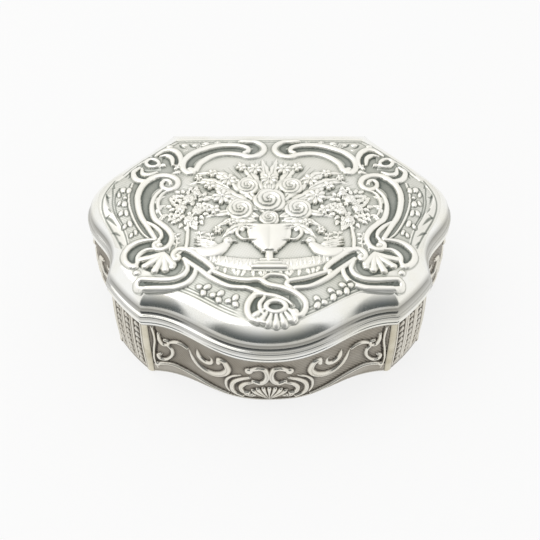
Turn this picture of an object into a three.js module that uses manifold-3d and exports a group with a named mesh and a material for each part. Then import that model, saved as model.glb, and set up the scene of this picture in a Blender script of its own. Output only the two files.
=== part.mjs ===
// A silver snuff box with a cartouche outline: a walled base on a flat bottom, a stamped and
// domed lid with a polished ovolo edge, and a barrel hinge along the straight side.
// Millimetres, +Z up, hinge side towards +Y, origin on the table under the middle of the box.

import * as THREE from "three";
import { mergeVertices } from "three/addons/utils/BufferGeometryUtils.js";
import Module from "manifold-3d";

const wasm = await Module();
wasm.setup();

// Outline of the lid edge, seen from above
const lidWidth = 86; // across the two side lobes
const lidDepth = 64; // front bow to hinge side
const hingeSideLength = 49; // straight run that carries the hinge
const lobeFromHingeSide = 23.5; // where the side lobes are widest
const neckFromHingeSide = 40; // where the sides are drawn in
const earFromHingeSide = 44.5; // outer corner of each ear
const cornerFromHingeSide = 54.1; // front corner of each ear
const neckInset = 6.7; // neck, in from the widest point
const earInset = 6.3; // outer ear corner, in from the widest point
const cornerInset = 14.7; // front ear corner, in from the widest point
const earSwell = 0.5; // how far the ear's short side is bowed out
const rearRun = 8.5; // start of the rear diagonal, sideways
const rearDrop = 10.5; // start of the rear diagonal, forwards
const lobeRearPull = 7.5; // fullness of the lobe towards the hinge
const lobeFrontPull = 8; // fullness of the lobe towards the neck
const neckPull = 7.5; // length of the hollow at the neck
const cornerPull = 11; // length of the hollow beside each front corner
const bowPull = 13.8; // fullness of the front bow

// Base
const baseHeight = 21.5; // table to the top of the base rim
const bottomThickness = 0.8;
const bottomStep = 0.15; // the bottom plate stands in from the wall's foot
const wallThickness = 0.9;
const wallInset = 1; // wall top, in from the rim's edge
const wallBelly = 0.35; // swelling of the wall at mid height
const bowLean = 1.9; // extra lean of the wall at the middle of the front bow
const ribHalfWidth = 1.2; // corner ribs, half their width along the wall
const ribProud = 0.35; // corner ribs, out from the wall
const footHeight = 1.5; // plain fillet along the foot of the wall
const footProud = 0.25;
const rimHeight = 1.9;
const rimLedge = 0.7; // rim, in from the inner face of the wall
const edgeRound = 0.2; // easing of the rim's edges
const bezelThickness = 0.6;
const bezelRise = 2.2; // bezel above the base rim
const bezelDrop = 3; // bezel below the top of the base rim

// Lid
const partingGap = 0.12; // between the base rim and the lid band
const lidClearance = 0.25; // lid band round the bezel
const bandHeight = 1.8;
const sheetThickness = 0.8; // stamped silver of the lid
const coveFlare = 0.45; // foot of the hollow moulding, in from the edge
const coveDepth = 1; // hollow moulding, how far it goes in
const coveHeight = 1.9;
const ovoloInset = 0.9; // lower lip of the ovolo, in from the edge
const lipHeight = 0.2; // between the hollow and the ovolo
const ovoloWidth = 3.7;
const ovoloHeight = 3.3;
const domeRise = 1.8; // the panel's middle above its edge

// Raised ornament of the lid and the walls
const scrollRise = 0.55; // ridges above the panel
const channelShare = 0.15; // height of the channel between the ridges, as a share of theirs
const ridgeShare = 0.68; // where the ridges stand, as a share of a band's half width
const scrollSink = 0.3; // how deep scrolls and shells are rooted in the sheet
const drawnWidth = 76.8; // panel that the scrolls are drawn on; they fill the real one
const drawnDepth = 54.8;
const scrollFacet = 2.6; // length of a facet along a scroll
const flowerRise = 0.9; // flowers, vase and birds above the panel
const wallScrollRise = 0.6; // scrolls above the wall
const wallScrollFacet = 3.2;
const drawnReach = 29.2; // half of the wall that its scrolls are drawn on; they fill the real one
const drawnWallFoot = 0.8;
const drawnWallTop = 19.6;

// Hinge
const knuckleCount = 5; // odd, so that both end knuckles belong to the base
const hingeEndInset = 1; // bare rim at each end of the barrel
const pinRadius = 0.5;
const pinHeadLength = 0.25; // domed ends that show at the barrel's ends
const pinClearance = 0.1;
const knuckleRadius = 1.2;
const knuckleGap = 0.12;
const bearerClearance = 0.1; // between the barrel and its bearers
const bearerThickness = 0.6;
const notchClearance = 0.1; // between the bearers and the rims they are set in
const openAngle = 105; // degrees at which the two bearers meet

// Soldered pieces
const solderGap = 0.05;

// Facets
const frontSteps = 14;
const earSteps = 2;
const neckSteps = 2;
const lobeSteps = 6;
const rearSteps = 6;
const backSteps = 1;
const ribSteps = 4;
const curveFacets = 4; // along each moulded curve
const domeRings = 3;
const barrelFacets = 8;

// Places that follow from the sizes
const bearerBore = knuckleRadius + bearerClearance;
const bearerRadius = bearerBore + bearerThickness;
const notchRadius = bearerRadius + notchClearance;
const overallDepth = lidDepth + knuckleRadius;
const frontY = -overallDepth / 2;
const hingeY = frontY + lidDepth;
const lidFoot = baseHeight + partingGap;
const hingeZ = baseHeight + partingGap / 2;
const rimFoot = baseHeight - rimHeight;
const rimInner = wallInset + wallThickness + rimLedge;
const bezelOuter = rimInner + solderGap;
const bandInner = bezelOuter - lidClearance;
const hingeLength = hingeSideLength - 2 * hingeEndInset;
const ovoloFoot = lidFoot + bandHeight + coveHeight + lipHeight;
const panelInset = ovoloInset + ovoloWidth;
const panelEdge = ovoloFoot + ovoloHeight;
const lidMiddle = new THREE.Vector2(0, hingeY - lidDepth / 2);

// Finishes
const polishedSilver = { color: 0xd9d8d4, metalness: 1, roughness: 0.16 };
const chasedSilver = { color: 0xbdbbb4, metalness: 1, roughness: 0.34 };
const giltSilver = { color: 0xd8c083, metalness: 1, roughness: 0.3 };

// The outline's corners and curves, right-hand side; the left is its mirror image.
function rightHandRuns() {
  const half = lidWidth / 2;
  const bow = new THREE.Vector2(0, frontY);
  const corner = new THREE.Vector2(half - cornerInset, hingeY - cornerFromHingeSide);
  const ear = new THREE.Vector2(half - earInset, hingeY - earFromHingeSide);
  const neck = new THREE.Vector2(half - neckInset, hingeY - neckFromHingeSide);
  const lobe = new THREE.Vector2(half, hingeY - lobeFromHingeSide);
  const rear = new THREE.Vector2(hingeSideLength / 2, hingeY);
  const earMiddle = corner.clone().add(ear).multiplyScalar(0.5);
  const earOutward = new THREE.Vector2(ear.y - corner.y, corner.x - ear.x).normalize();
  const earControl = earMiddle.addScaledVector(earOutward, 2 * earSwell);
  const shifted = (point, x, y) => new THREE.Vector2(point.x + x, point.y + y);
  const bezier = (a, b, c, d) => new THREE.CubicBezierCurve(a, b, c, d);
  return {
    front: [bezier(bow, shifted(bow, bowPull, 0), shifted(corner, -cornerPull, 0), corner)],
    ear: [new THREE.QuadraticBezierCurve(corner, earControl, ear)],
    side: [
      new THREE.LineCurve(ear, neck),
      bezier(neck, shifted(neck, 0, neckPull), shifted(lobe, 0, -lobeFrontPull), lobe),
      bezier(lobe, shifted(lobe, 0, lobeRearPull), shifted(rear, rearRun, -rearDrop), rear),
    ],
  };
}

// The same curve on the other side of the box, run the other way so that the outline goes round.
function mirrored(curve) {
  const flip = (point) => new THREE.Vector2(-point.x, point.y);
  if (curve.isLineCurve) return new THREE.LineCurve(flip(curve.v2), flip(curve.v1));
  if (curve.isQuadraticBezierCurve) {
    return new THREE.QuadraticBezierCurve(flip(curve.v2), flip(curve.v1), flip(curve.v0));
  }
  return new THREE.CubicBezierCurve(flip(curve.v3), flip(curve.v2), flip(curve.v1), flip(curve.v0));
}

const right = rightHandRuns();
const rearCorner = right.side.at(-1).getPoint(1);
const backEdge = new THREE.LineCurve(rearCorner, new THREE.Vector2(-rearCorner.x, rearCorner.y));
const sideFacets = [neckSteps, lobeSteps, rearSteps];
const frontFacets = [frontSteps / 2];

// The outline in six runs between corners, counter-clockwise from the front left corner.
const runs = {
  front: { curves: [mirrored(right.front[0]), ...right.front], steps: [...frontFacets, ...frontFacets] },
  earRight: { curves: right.ear, steps: [earSteps] },
  sideRight: { curves: right.side, steps: sideFacets },
  back: { curves: [backEdge], steps: [backSteps] },
  sideLeft: { curves: right.side.map(mirrored).reverse(), steps: [...sideFacets].reverse() },
  earLeft: { curves: right.ear.map(mirrored), steps: [earSteps] },
};
const runOrder = Object.values(runs);

// Share of the bow's lean at a point: none at the front corners, all of it in the middle.
function bowShare(point) {
  const cornerX = lidWidth / 2 - cornerInset;
  const cornerY = hingeY - cornerFromHingeSide;
  if (point.y > cornerY || Math.abs(point.x) > cornerX) return 0;
  return THREE.MathUtils.smoothstep(1 - Math.abs(point.x) / cornerX, 0, 1);
}

function outward(tangent) {
  return new THREE.Vector2(tangent.y, -tangent.x);
}

function sampleOf(curve, u) {
  const point = curve.getPointAt(u);
  return { point, normal: outward(curve.getTangentAt(u)), bow: bowShare(point) };
}

// Even samples of one run, cut short by trim at both ends.
function runSamples(run, trim) {
  const last = run.curves.length - 1;
  return run.curves.flatMap((curve, index) => {
    const start = index === 0 ? trim / curve.getLength() : 0;
    const end = index === last ? 1 - trim / curve.getLength() : 1;
    const steps = run.steps[index];
    const count = index === last ? steps + 1 : steps;
    return Array.from({ length: count }, (_, i) => {
      return sampleOf(curve, THREE.MathUtils.lerp(start, end, i / steps));
    });
  });
}

// The whole outline as one ring, with mitred normals at the six corners.
function outlineSamples() {
  return runOrder.flatMap((run, index) => {
    const before = runOrder.at(index - 1).curves.at(-1);
    const samples = runSamples(run, 0).slice(0, -1);
    const arriving = outward(before.getTangentAt(1));
    const leaving = samples[0].normal;
    const mitre = arriving.clone().add(leaving).divideScalar(1 + arriving.dot(leaving));
    samples[0] = { ...samples[0], normal: mitre };
    return samples;
  });
}

const panelOutline = outlineSamples().map((sample) => {
  return new THREE.Vector2().copy(sample.point).addScaledVector(sample.normal, -panelInset);
});

// A rounded path round the corner between two runs, for its rib.
function cornerSamples(before, after) {
  const arriving = before.curves.at(-1);
  const leaving = after.curves[0];
  const start = arriving.getPointAt(1 - ribHalfWidth / arriving.getLength());
  const end = leaving.getPointAt(ribHalfWidth / leaving.getLength());
  const path = new THREE.QuadraticBezierCurve(start, leaving.getPoint(0), end);
  return Array.from({ length: ribSteps + 1 }, (_, i) => sampleOf(path, i / ribSteps));
}

// A profile point: inset from the outline, height, and its share of the bow's lean.
function placed(sample, [inset, height, lean = 0]) {
  const depth = inset + lean * sample.bow * bowLean;
  const { point, normal } = sample;
  return new THREE.Vector3(point.x - normal.x * depth, point.y - normal.y * depth, height);
}

function geometryOf(points, triangles) {
  const volume = triangles.reduce((sum, [a, b, c]) => {
    return sum + points[a].dot(points[b].clone().cross(points[c]));
  }, 0);
  const facing = volume < 0 ? triangles.map(([a, b, c]) => [a, c, b]) : triangles;
  const geometry = new THREE.BufferGeometry().setFromPoints(points);
  geometry.setIndex(facing.flat());
  geometry.computeVertexNormals();
  return geometry;
}

// Two triangles for each cell between two rows of points.
function cells(rowA, rowB, length, closed) {
  const count = closed ? length : length - 1;
  return Array.from({ length: count }, (_, i) => {
    const next = (i + 1) % length;
    return [
      [rowA + i, rowA + next, rowB + next],
      [rowA + i, rowB + next, rowB + i],
    ];
  }).flat();
}

// A closed profile carried along samples: a ring, or a wall with capped ends.
function sweep(samples, profile, closed) {
  const size = profile.length;
  const points = samples.flatMap((sample) => profile.map((corner) => placed(sample, corner)));
  const pairs = closed ? samples.length : samples.length - 1;
  const sides = Array.from({ length: pairs }, (_, i) => {
    return cells(i * size, ((i + 1) % samples.length) * size, size, true);
  }).flat();
  if (closed) return geometryOf(points, sides);
  const section = profile.map(([inset, height]) => new THREE.Vector2(inset, height));
  const cap = THREE.ShapeUtils.triangulateShape(section, []);
  const [a, b, c] = cap[0].map((corner) => section[corner]);
  const capTurns = b.clone().sub(a).cross(c.clone().sub(a)) > 0;
  const sectionTurns = THREE.ShapeUtils.area(section) > 0;
  const lastRow = (samples.length - 1) * size;
  const endCap = capTurns === sectionTurns ? cap : cap.map((corners) => [...corners].reverse());
  const startCap = endCap.map((corners) => [...corners].reverse());
  const shiftedCap = endCap.map((corners) => corners.map((corner) => lastRow + corner));
  return geometryOf(points, [...sides, ...startCap, ...shiftedCap]);
}

// Rings closed at both ends by a middle point, as a plate or a domed shell is.
function poleToPole(rings, firstPole, lastPole) {
  const size = rings[0].length;
  const points = [firstPole, ...rings.flat(), lastPole];
  const lastPoint = points.length - 1;
  const lastRow = lastPoint - size;
  const sides = rings.slice(1).flatMap((_, i) => cells(1 + i * size, 1 + (i + 1) * size, size, true));
  const fans = Array.from({ length: size }, (_, i) => {
    const next = (i + 1) % size;
    return [
      [0, 1 + next, 1 + i],
      [lastPoint, lastRow + i, lastRow + next],
    ];
  }).flat();
  return geometryOf(points, [...sides, ...fans]);
}

function solidOf(geometry) {
  const bare = geometry.index ? geometry.toNonIndexed() : geometry.clone();
  bare.deleteAttribute("normal");
  bare.deleteAttribute("uv");
  const merged = mergeVertices(bare, 1e-4);
  return new wasm.Manifold(
    new wasm.Mesh({
      numProp: 3,
      vertProperties: new Float32Array(merged.attributes.position.array),
      triVerts: new Uint32Array(merged.index.array),
    }),
  );
}

function joined(geometries) {
  return geometryFrom(geometries.map(solidOf).reduce((whole, piece) => whole.add(piece)));
}

function cutAway(geometry, cutter) {
  return geometryFrom(solidOf(geometry).subtract(solidOf(cutter)));
}

function geometryFrom(solid) {
  const mesh = solid.getMesh();
  const made = new THREE.BufferGeometry();
  made.setAttribute("position", new THREE.BufferAttribute(mesh.vertProperties, 3));
  made.setIndex(new THREE.BufferAttribute(mesh.triVerts, 1));
  made.computeVertexNormals();
  return made;
}

function part(name, geometry, finish) {
  const mesh = new THREE.Mesh(geometry, new THREE.MeshStandardMaterial(finish));
  mesh.name = name;
  return mesh;
}

// Points of a quarter of an ellipse, from one end of the curve to the other.
function quarter(along) {
  return Array.from({ length: curveFacets + 1 }, (_, i) => along((i / curveFacets) * (Math.PI / 2)));
}

// Base wall, from the bottom plate to the rim: a plain fillet at the foot and a swelling at mid height.
function wallProfile(proud) {
  const foot = bottomThickness;
  const at = (share, extra) => {
    const swell = wallBelly * Math.sin(Math.PI * share);
    return [wallInset - swell - extra, THREE.MathUtils.lerp(foot, rimFoot, share), 1 - share];
  };
  const fillet = footHeight / (rimFoot - foot);
  const footFace = [0, fillet].map((share) => at(share, Math.max(proud, footProud)));
  const upperFace = [fillet, 0.36, 0.68, 1].map((share) => at(share, proud));
  const back = [1, 0.68, 0.36, 0].map((share) => at(share, -wallThickness));
  const face = proud < footProud ? [...footFace, ...upperFace] : [footFace[0], ...upperFace];
  return [...face, ...back];
}

// A point on the outer face of a wall: distance along the run from its middle, height, and rise.
function wallPoint(run, along, height, rise) {
  const lengths = run.curves.map((curve) => curve.getLength());
  const total = lengths.reduce((sum, length) => sum + length, 0);
  let left = total / 2 + along;
  let index = 0;
  while (index < lengths.length - 1 && left > lengths[index]) {
    left -= lengths[index];
    index += 1;
  }
  const sample = sampleOf(run.curves[index], THREE.MathUtils.clamp(left / lengths[index], 0, 1));
  const share = (height - bottomThickness) / (rimFoot - bottomThickness);
  const inset = wallInset - wallBelly * Math.sin(Math.PI * share) - rise;
  return placed(sample, [inset, height, 1 - share]);
}

// Places a drawn point on a wall, stretched to the wall's own length and height.
function onWall(run) {
  const total = run.curves.reduce((sum, curve) => sum + curve.getLength(), 0);
  const reach = total / 2 - ribHalfWidth - solderGap;
  const tall = (rimFoot - bottomThickness) / (drawnWallTop - drawnWallFoot);
  return (point, rise) => {
    const height = bottomThickness + (point.y - drawnWallFoot) * tall;
    return wallPoint(run, (point.x * reach) / drawnReach, height, rise);
  };
}

// A solid from rows of corners, each row a closed section, capped at both ends.
function fromRows(rows) {
  const size = rows[0].length;
  const sides = rows.slice(1).flatMap((_, i) => cells(i * size, (i + 1) * size, size, true));
  const last = (rows.length - 1) * size;
  const fan = Array.from({ length: size - 2 }, (_, i) => [0, i + 1, i + 2]);
  const startCap = fan.map((corners) => [...corners].reverse());
  const endCap = fan.map((corners) => corners.map((corner) => last + corner));
  return geometryOf(rows.flat(), [...sides, ...startCap, ...endCap]);
}

// A single ridge along a curve, thin at its ends, on the lid or on a wall.
function ridge({ path, halfWidth, ends = 0.5 }, rise, facet, place) {
  const curve = new THREE.SplineCurve(path.map(([x, y]) => new THREE.Vector2(x, y)));
  const steps = Math.max(3, Math.round(curve.getLength() / facet));
  const rows = Array.from({ length: steps + 1 }, (_, i) => {
    const u = i / steps;
    const middle = curve.getPointAt(u);
    const across = outward(curve.getTangentAt(u));
    const share = THREE.MathUtils.lerp(ends, 1, Math.sin(Math.PI * u));
    const edge = (side) => {
      return place(middle.clone().addScaledVector(across, side * halfWidth * share), -scrollSink);
    };
    return [edge(-1), place(middle, rise * share), edge(1)];
  });
  return fromRows(rows);
}

// A fan of shell lobes that opens from a point towards an angle, on the lid or on a wall.
function shellFan({ at, towards, spread, radius, lobes }, rise, place) {
  const hub = new THREE.Vector2(...at);
  const rim = Array.from({ length: 2 * lobes + 1 }, (_, i) => {
    const angle = THREE.MathUtils.degToRad(towards + spread * (i / (2 * lobes) - 0.5));
    const crest = i % 2 === 1;
    const reach = crest ? radius : 0.86 * radius;
    const spot = new THREE.Vector2(hub.x + reach * Math.cos(angle), hub.y + reach * Math.sin(angle));
    return { spot, lift: crest ? rise : 0.4 * rise };
  });
  const top = [place(hub, 0.9 * rise), ...rim.map(({ spot, lift }) => place(spot, lift))];
  const bottom = [place(hub, -scrollSink), ...rim.map(({ spot }) => place(spot, -scrollSink))];
  const size = top.length;
  const fan = rim.slice(1).map((_, i) => [0, i + 1, i + 2]);
  const under = fan.map((corners) => corners.map((corner) => size + corner).reverse());
  const skirt = cells(size, 0, size, true);
  return geometryOf([...top, ...bottom], [...fan, ...under, ...skirt]);
}

// Scrolls of the walls, left half: along the wall from its middle, and height.
const frontWall = {
  scrolls: [
    { path: [[-4.4, 15.4], [-2.4, 16.5], [-0.9, 15], [-0.9, 11.6], [-3.2, 10]], halfWidth: 0.75 },
    { path: [[-4.6, 12], [-7, 10.6], [-9, 7.6], [-9.2, 4], [-7.4, 2.2]], halfWidth: 0.75 },
    { path: [[-20, 14.2], [-17.6, 9.4], [-13.6, 8.9], [-10.2, 12], [-10.8, 15.6]], halfWidth: 1.05 },
    { path: [[-17.8, 15.8], [-16.4, 12.9], [-14, 14.4]], halfWidth: 0.8 },
    { path: [[-27.2, 16.6], [-26.2, 13], [-24.6, 10], [-26.2, 6.9]], halfWidth: 0.65 },
    { path: [[-28.2, 4], [-22, 4.6], [-15, 2.1]], halfWidth: 0.65 },
  ],
  shell: { at: [0, 1.6], towards: 90, spread: 112, radius: 6.3, lobes: 4 },
};
const sideWall = {
  scrolls: [
    { path: [[-6.8, 15], [-4, 16.2], [-1.2, 15.2], [-0.8, 12], [-2.9, 10.3]], halfWidth: 0.75 },
    { path: [[-3.6, 12], [-6.8, 10.6], [-9, 7.8], [-8.6, 4.8], [-6.4, 3.4]], halfWidth: 0.75 },
    { path: [[-22.6, 14.6], [-20, 10], [-16.4, 8.8], [-13, 11], [-13.4, 14.4]], halfWidth: 1.05 },
    { path: [[-20.4, 15.8], [-18.6, 13.3], [-16, 14]], halfWidth: 0.8 },
    { path: [[-28, 16.6], [-26.6, 13], [-25.2, 10], [-26.8, 6.9]], halfWidth: 0.65 },
    { path: [[-11.6, 4.4], [-15.9, 5.7], [-20.8, 5.1]], halfWidth: 0.9 },
  ],
  shell: { at: [0, 3], towards: 90, spread: 120, radius: 5.6, lobes: 4 },
};

function wallOrnament(run, { scrolls, shell }) {
  const place = onWall(run);
  const flip = ([x, y]) => [-x, y];
  const rightHalf = scrolls.map((scroll) => ({ ...scroll, path: scroll.path.map(flip) }));
  return [
    ...[...scrolls, ...rightHalf].map((scroll) => ridge(scroll, wallScrollRise, wallScrollFacet, place)),
    shellFan(shell, wallScrollRise, place),
  ];
}

function wallPanel(name, run, ornament) {
  const samples = runSamples(run, ribHalfWidth + solderGap);
  const panel = sweep(samples, wallProfile(0), false);
  const chased = ornament ? joined([panel, ...wallOrnament(run, ornament)]) : panel;
  return part(name, chased, chasedSilver);
}

function cornerRib(name, before, after) {
  return part(name, sweep(cornerSamples(before, after), wallProfile(ribProud), false), polishedSilver);
}

function bottomPlate() {
  const inset = wallInset - footProud + bottomStep;
  const ring = (height) => outlineSamples().map((sample) => placed(sample, [inset, height, 1]));
  const middle = (height) => new THREE.Vector3(0, 0, height);
  const rings = [ring(bottomThickness), ring(0)];
  return part("base_bottom", poleToPole(rings, middle(bottomThickness), middle(0)), polishedSilver);
}

// The groove in both rims that the hinge's bearers lie in.
function hingeNotch() {
  const length = hingeLength + 2 * (pinHeadLength + notchClearance);
  const notch = new THREE.CylinderGeometry(notchRadius, notchRadius, length, 3 * barrelFacets);
  notch.rotateZ(Math.PI / 2);
  notch.translate(0, hingeY, hingeZ);
  return notch;
}

function baseRim() {
  const profile = [
    [edgeRound, baseHeight],
    [0, baseHeight - edgeRound],
    [0, rimFoot + 3 * edgeRound],
    [edgeRound, rimFoot + 2 * edgeRound],
    [wallInset - edgeRound, rimFoot],
    [rimInner, rimFoot],
    [rimInner, baseHeight],
  ];
  return part("base_rim", cutAway(sweep(outlineSamples(), profile, true), hingeNotch()), polishedSilver);
}

function bezel() {
  const inner = bezelOuter + bezelThickness;
  const top = baseHeight + bezelRise;
  const profile = [
    [bezelOuter, baseHeight - bezelDrop],
    [bezelOuter, top - edgeRound],
    [bezelOuter + edgeRound, top],
    [inner, top],
    [inner, baseHeight - bezelDrop],
  ];
  return part("bezel", sweep(outlineSamples(), profile, true), giltSilver);
}

function lidBand() {
  const top = lidFoot + bandHeight;
  const profile = [
    [edgeRound, lidFoot],
    [0, lidFoot + edgeRound],
    [0, top - 2 * edgeRound],
    [coveFlare, top],
    [bandInner, top],
    [bandInner, lidFoot],
  ];
  return part("lid_edge_band", cutAway(sweep(outlineSamples(), profile, true), hingeNotch()), polishedSilver);
}

// Height of the panel's upper face over a point of the plan.
function panelHeight(x, y) {
  const edge = panelOutline;
  const away = new THREE.Vector2(x, y).sub(lidMiddle);
  const reach = edge.reduce((found, start, i) => {
    const a = start.clone().sub(lidMiddle);
    const b = edge[(i + 1) % edge.length].clone().sub(lidMiddle);
    const between = a.cross(away) * away.cross(b);
    if (between < 0 || a.dot(away) + b.dot(away) <= 0) return found;
    return away.cross(b.clone().sub(a)) / a.cross(b);
  }, 0);
  const share = Math.min(Math.abs(reach), 1);
  return panelEdge + domeRise * (1 - share * share);
}

// A point of the ornament's drawing, stretched to the panel that it fills.
function drawn([x, y]) {
  const across = (lidWidth - 2 * panelInset) / drawnWidth;
  const along = (lidDepth - 2 * panelInset) / drawnDepth;
  return new THREE.Vector2(lidMiddle.x + x * across, lidMiddle.y + y * along);
}

// A scroll: two ridges with a channel between them along a curve, drawn thin at its ends.
function scrollBand({ path, halfWidth, ends }) {
  const curve = new THREE.SplineCurve(path.map(drawn));
  const steps = Math.max(4, Math.round(curve.getLength() / scrollFacet));
  const rows = Array.from({ length: steps + 1 }, (_, i) => {
    const u = i / steps;
    const middle = curve.getPointAt(u);
    const across = outward(curve.getTangentAt(u));
    const width = halfWidth * THREE.MathUtils.lerp(ends, 1, Math.sin(Math.PI * u));
    const section = [
      [-1, -scrollSink],
      [-ridgeShare, scrollRise],
      [0, scrollRise * channelShare],
      [ridgeShare, scrollRise],
      [1, -scrollSink],
    ];
    return section.map(([share, rise]) => {
      const spot = middle.clone().addScaledVector(across, share * width);
      return new THREE.Vector3(spot.x, spot.y, panelHeight(middle.x, middle.y) + rise);
    });
  });
  return fromRows(rows);
}

// The rolled end of a scroll: a ring with a knob in the middle.
function volute({ at, radius }) {
  const spot = drawn(at);
  const section = [
    [0, -scrollSink],
    [1, -scrollSink],
    [0.8, scrollRise],
    [0.5, scrollRise * channelShare],
    [0, 1.2 * scrollRise],
  ];
  const outline = section.map(([share, rise]) => new THREE.Vector2(share * radius, rise));
  const roll = new THREE.LatheGeometry(outline, 8);
  roll.rotateX(Math.PI / 2);
  roll.translate(spot.x, spot.y, panelHeight(spot.x, spot.y));
  return roll;
}

// Places a drawn point on the lid's panel, with its rise from the face.
function onPanel(point, rise) {
  const spot = drawn([point.x, point.y]);
  return new THREE.Vector3(spot.x, spot.y, panelHeight(spot.x, spot.y) + rise);
}

// A low round or oval boss, dished in the middle where it is a flower.
function boss({ at, radii, rise = flowerRise, turn = 0, dish = 1 }) {
  const facets = 7;
  const angle = THREE.MathUtils.degToRad(turn);
  const middle = new THREE.Vector2(...at);
  const ring = (share, lift) => {
    return Array.from({ length: facets }, (_, i) => {
      const around = (i / facets) * 2 * Math.PI;
      const spot = new THREE.Vector2(radii[0] * Math.cos(around), radii[1] * Math.sin(around));
      return onPanel(spot.multiplyScalar(share).rotateAround(new THREE.Vector2(), angle).add(middle), lift);
    });
  };
  const rings = [ring(1, -scrollSink), ring(0.72, rise)];
  return poleToPole(rings, onPanel(middle, -scrollSink), onPanel(middle, dish * rise));
}

// A pointed leaf with a raised midrib, from its root to its tip.
function leaf({ from, to, halfWidth, rise = scrollRise }) {
  const root = new THREE.Vector2(...from);
  const tip = new THREE.Vector2(...to);
  const middle = root.clone().lerp(tip, 0.45);
  const across = outward(tip.clone().sub(root).normalize()).multiplyScalar(halfWidth);
  const edge = [root, middle.clone().add(across), tip, middle.clone().sub(across)];
  const points = [...edge.map((spot) => onPanel(spot, -scrollSink)), onPanel(middle, rise)];
  const faces = [[0, 1, 4], [1, 2, 4], [2, 3, 4], [3, 0, 4], [0, 2, 1], [0, 3, 2]];
  return geometryOf(points, faces);
}

// A vase in half relief: half widths from its foot to its lip.
function vase({ profile }) {
  const widest = Math.max(...profile.map(([halfWidth]) => halfWidth));
  const rows = profile.map(([halfWidth, y]) => {
    const rise = flowerRise * THREE.MathUtils.lerp(0.5, 1.1, halfWidth / widest);
    const section = [[-1, -scrollSink], [-0.75, 0.7 * rise], [0, rise], [0.75, 0.7 * rise], [1, -scrollSink]];
    return section.map(([share, lift]) => onPanel(new THREE.Vector2(share * halfWidth, y), lift));
  });
  return fromRows(rows);
}

// Scrolls of the lid's left half, from its side to its back, in millimetres on the drawn panel.
const leftScrolls = [
  { path: [[-25.7, 12.5], [-28.4, 9.6], [-29, 6.2], [-28.2, 2.6], [-26.6, 0.2]], halfWidth: 2, ends: 0.6 },
  { path: [[-26.4, -0.6], [-24.6, -2.2], [-23.5, -4.4], [-24.2, -6.4]], halfWidth: 1.5, ends: 0.8 },
  { path: [[-26.4, -6.6], [-29.2, -7.3], [-30.9, -9.4], [-30.6, -11.6]], halfWidth: 1.4, ends: 0.7 },
  { path: [[-28.4, -16.3], [-24.5, -16.4], [-20.6, -15.6], [-18.4, -12]], halfWidth: 1.5, ends: 0.7 },
  { path: [[-19.2, -9.8], [-16.4, -10.3], [-14.6, -11.9], [-13.2, -13.7]], halfWidth: 1.5, ends: 0.7 },
  { path: [[-13, -14.3], [-9.6, -16.7], [-6.6, -17.7], [-3.2, -17.9]], halfWidth: 1.4, ends: 0.8 },
  { path: [[-15.4, 22], [-12, 23.2], [-8.8, 23.5], [-5.6, 22.4]], halfWidth: 1.3, ends: 0.7 },
  { path: [[-6.8, 25.2], [-4.4, 25.2], [-3.2, 23.7], [-4.6, 22.2]], halfWidth: 1, ends: 0.7 },
  { path: [[-19.2, 17], [-19.3, 18.9], [-18, 20.7], [-15.4, 22]], halfWidth: 1.3, ends: 0.8 },
  { path: [[-26.6, 21.6], [-24.2, 22.2], [-22.2, 21], [-21.6, 18.9]], halfWidth: 1.2, ends: 0.6 },
  { path: [[-31.9, 16.4], [-31, 14.5], [-29, 13.7], [-26.8, 14]], halfWidth: 1.2, ends: 0.6 },
];
const leftVolutes = [
  { at: [-24.2, 11.7], radius: 1.5 },
  { at: [-24.7, -7.1], radius: 1.3 },
  { at: [-20.1, -10.4], radius: 1.6 },
  { at: [-18.7, 16.2], radius: 1.2 },
  { at: [-27.9, 19], radius: 1.5 },
];
const leftShell = { at: [-22.4, -9.8], towards: 218, spread: 95, radius: 5.6, lobes: 4 };

// The front cartouche stands by itself: a band that crosses over a shell and a smaller scroll.
const frontScrolls = [
  { path: [[-2.6, -17.9], [0.4, -19.9], [3.6, -20.8], [6, -22.6], [6.2, -24.6]], halfWidth: 1.4, ends: 0.9 },
  { path: [[-1.8, -20.8], [-3.3, -22.8], [-3.2, -24.6], [-1.8, -26]], halfWidth: 1.2, ends: 0.7 },
];
const frontShell = { at: [1.4, -22.4], towards: 270, spread: 125, radius: 6.6, lobes: 6 };

// The field inside the scrolls: a vase of flowers between two rose trees and two birds, right half.
const fieldVase = {
  profile: [[3.7, -14], [3.7, -13], [1.3, -11.4], [1.3, -9.8], [3.8, -7.4], [5, -5], [4.6, -3.2], [5.2, -2]],
};
const fieldFlowers = [
  { at: [0, 5.4], radii: [4, 4], rise: 1.15, dish: 0.7 },
  { at: [6.6, 2.8], radii: [3.3, 3.3], dish: 0.7 },
  { at: [5, 10], radii: [2.9, 2.9], dish: 0.7 },
  { at: [10.8, 6.8], radii: [2.5, 2.5], dish: 0.7 },
  { at: [9.6, 12.2], radii: [2.1, 2.1], dish: 0.7 },
  { at: [3.4, 15.8], radii: [1.9, 1.9], dish: 0.7 },
  { at: [0, 12.4], radii: [2.2, 2.2], dish: 0.7 },
  { at: [0, 0.2], radii: [2.4, 2.4], dish: 0.7 },
];
const fieldLeaves = [
  { from: [6, 1.6], to: [15, 0.8], halfWidth: 1.4 },
  { from: [8, 5], to: [16, 7.2], halfWidth: 1.4 },
  { from: [7, 10], to: [12.8, 14.8], halfWidth: 1.4 },
  { from: [4, 13], to: [7.4, 19], halfWidth: 1.4 },
  { from: [3, -0.4], to: [12, -2], halfWidth: 1.3 },
  { from: [0.6, 13], to: [1.8, 19.8], halfWidth: 1.2 },
];
const fieldTree = {
  crown: { at: [18.4, 3.4], radii: [4.7, 6.4], rise: 0.7 },
  trunk: { path: [[18.6, -9.6], [18.8, -6], [18.4, -2]], halfWidth: 0.6, ends: 0.9 },
};
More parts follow.
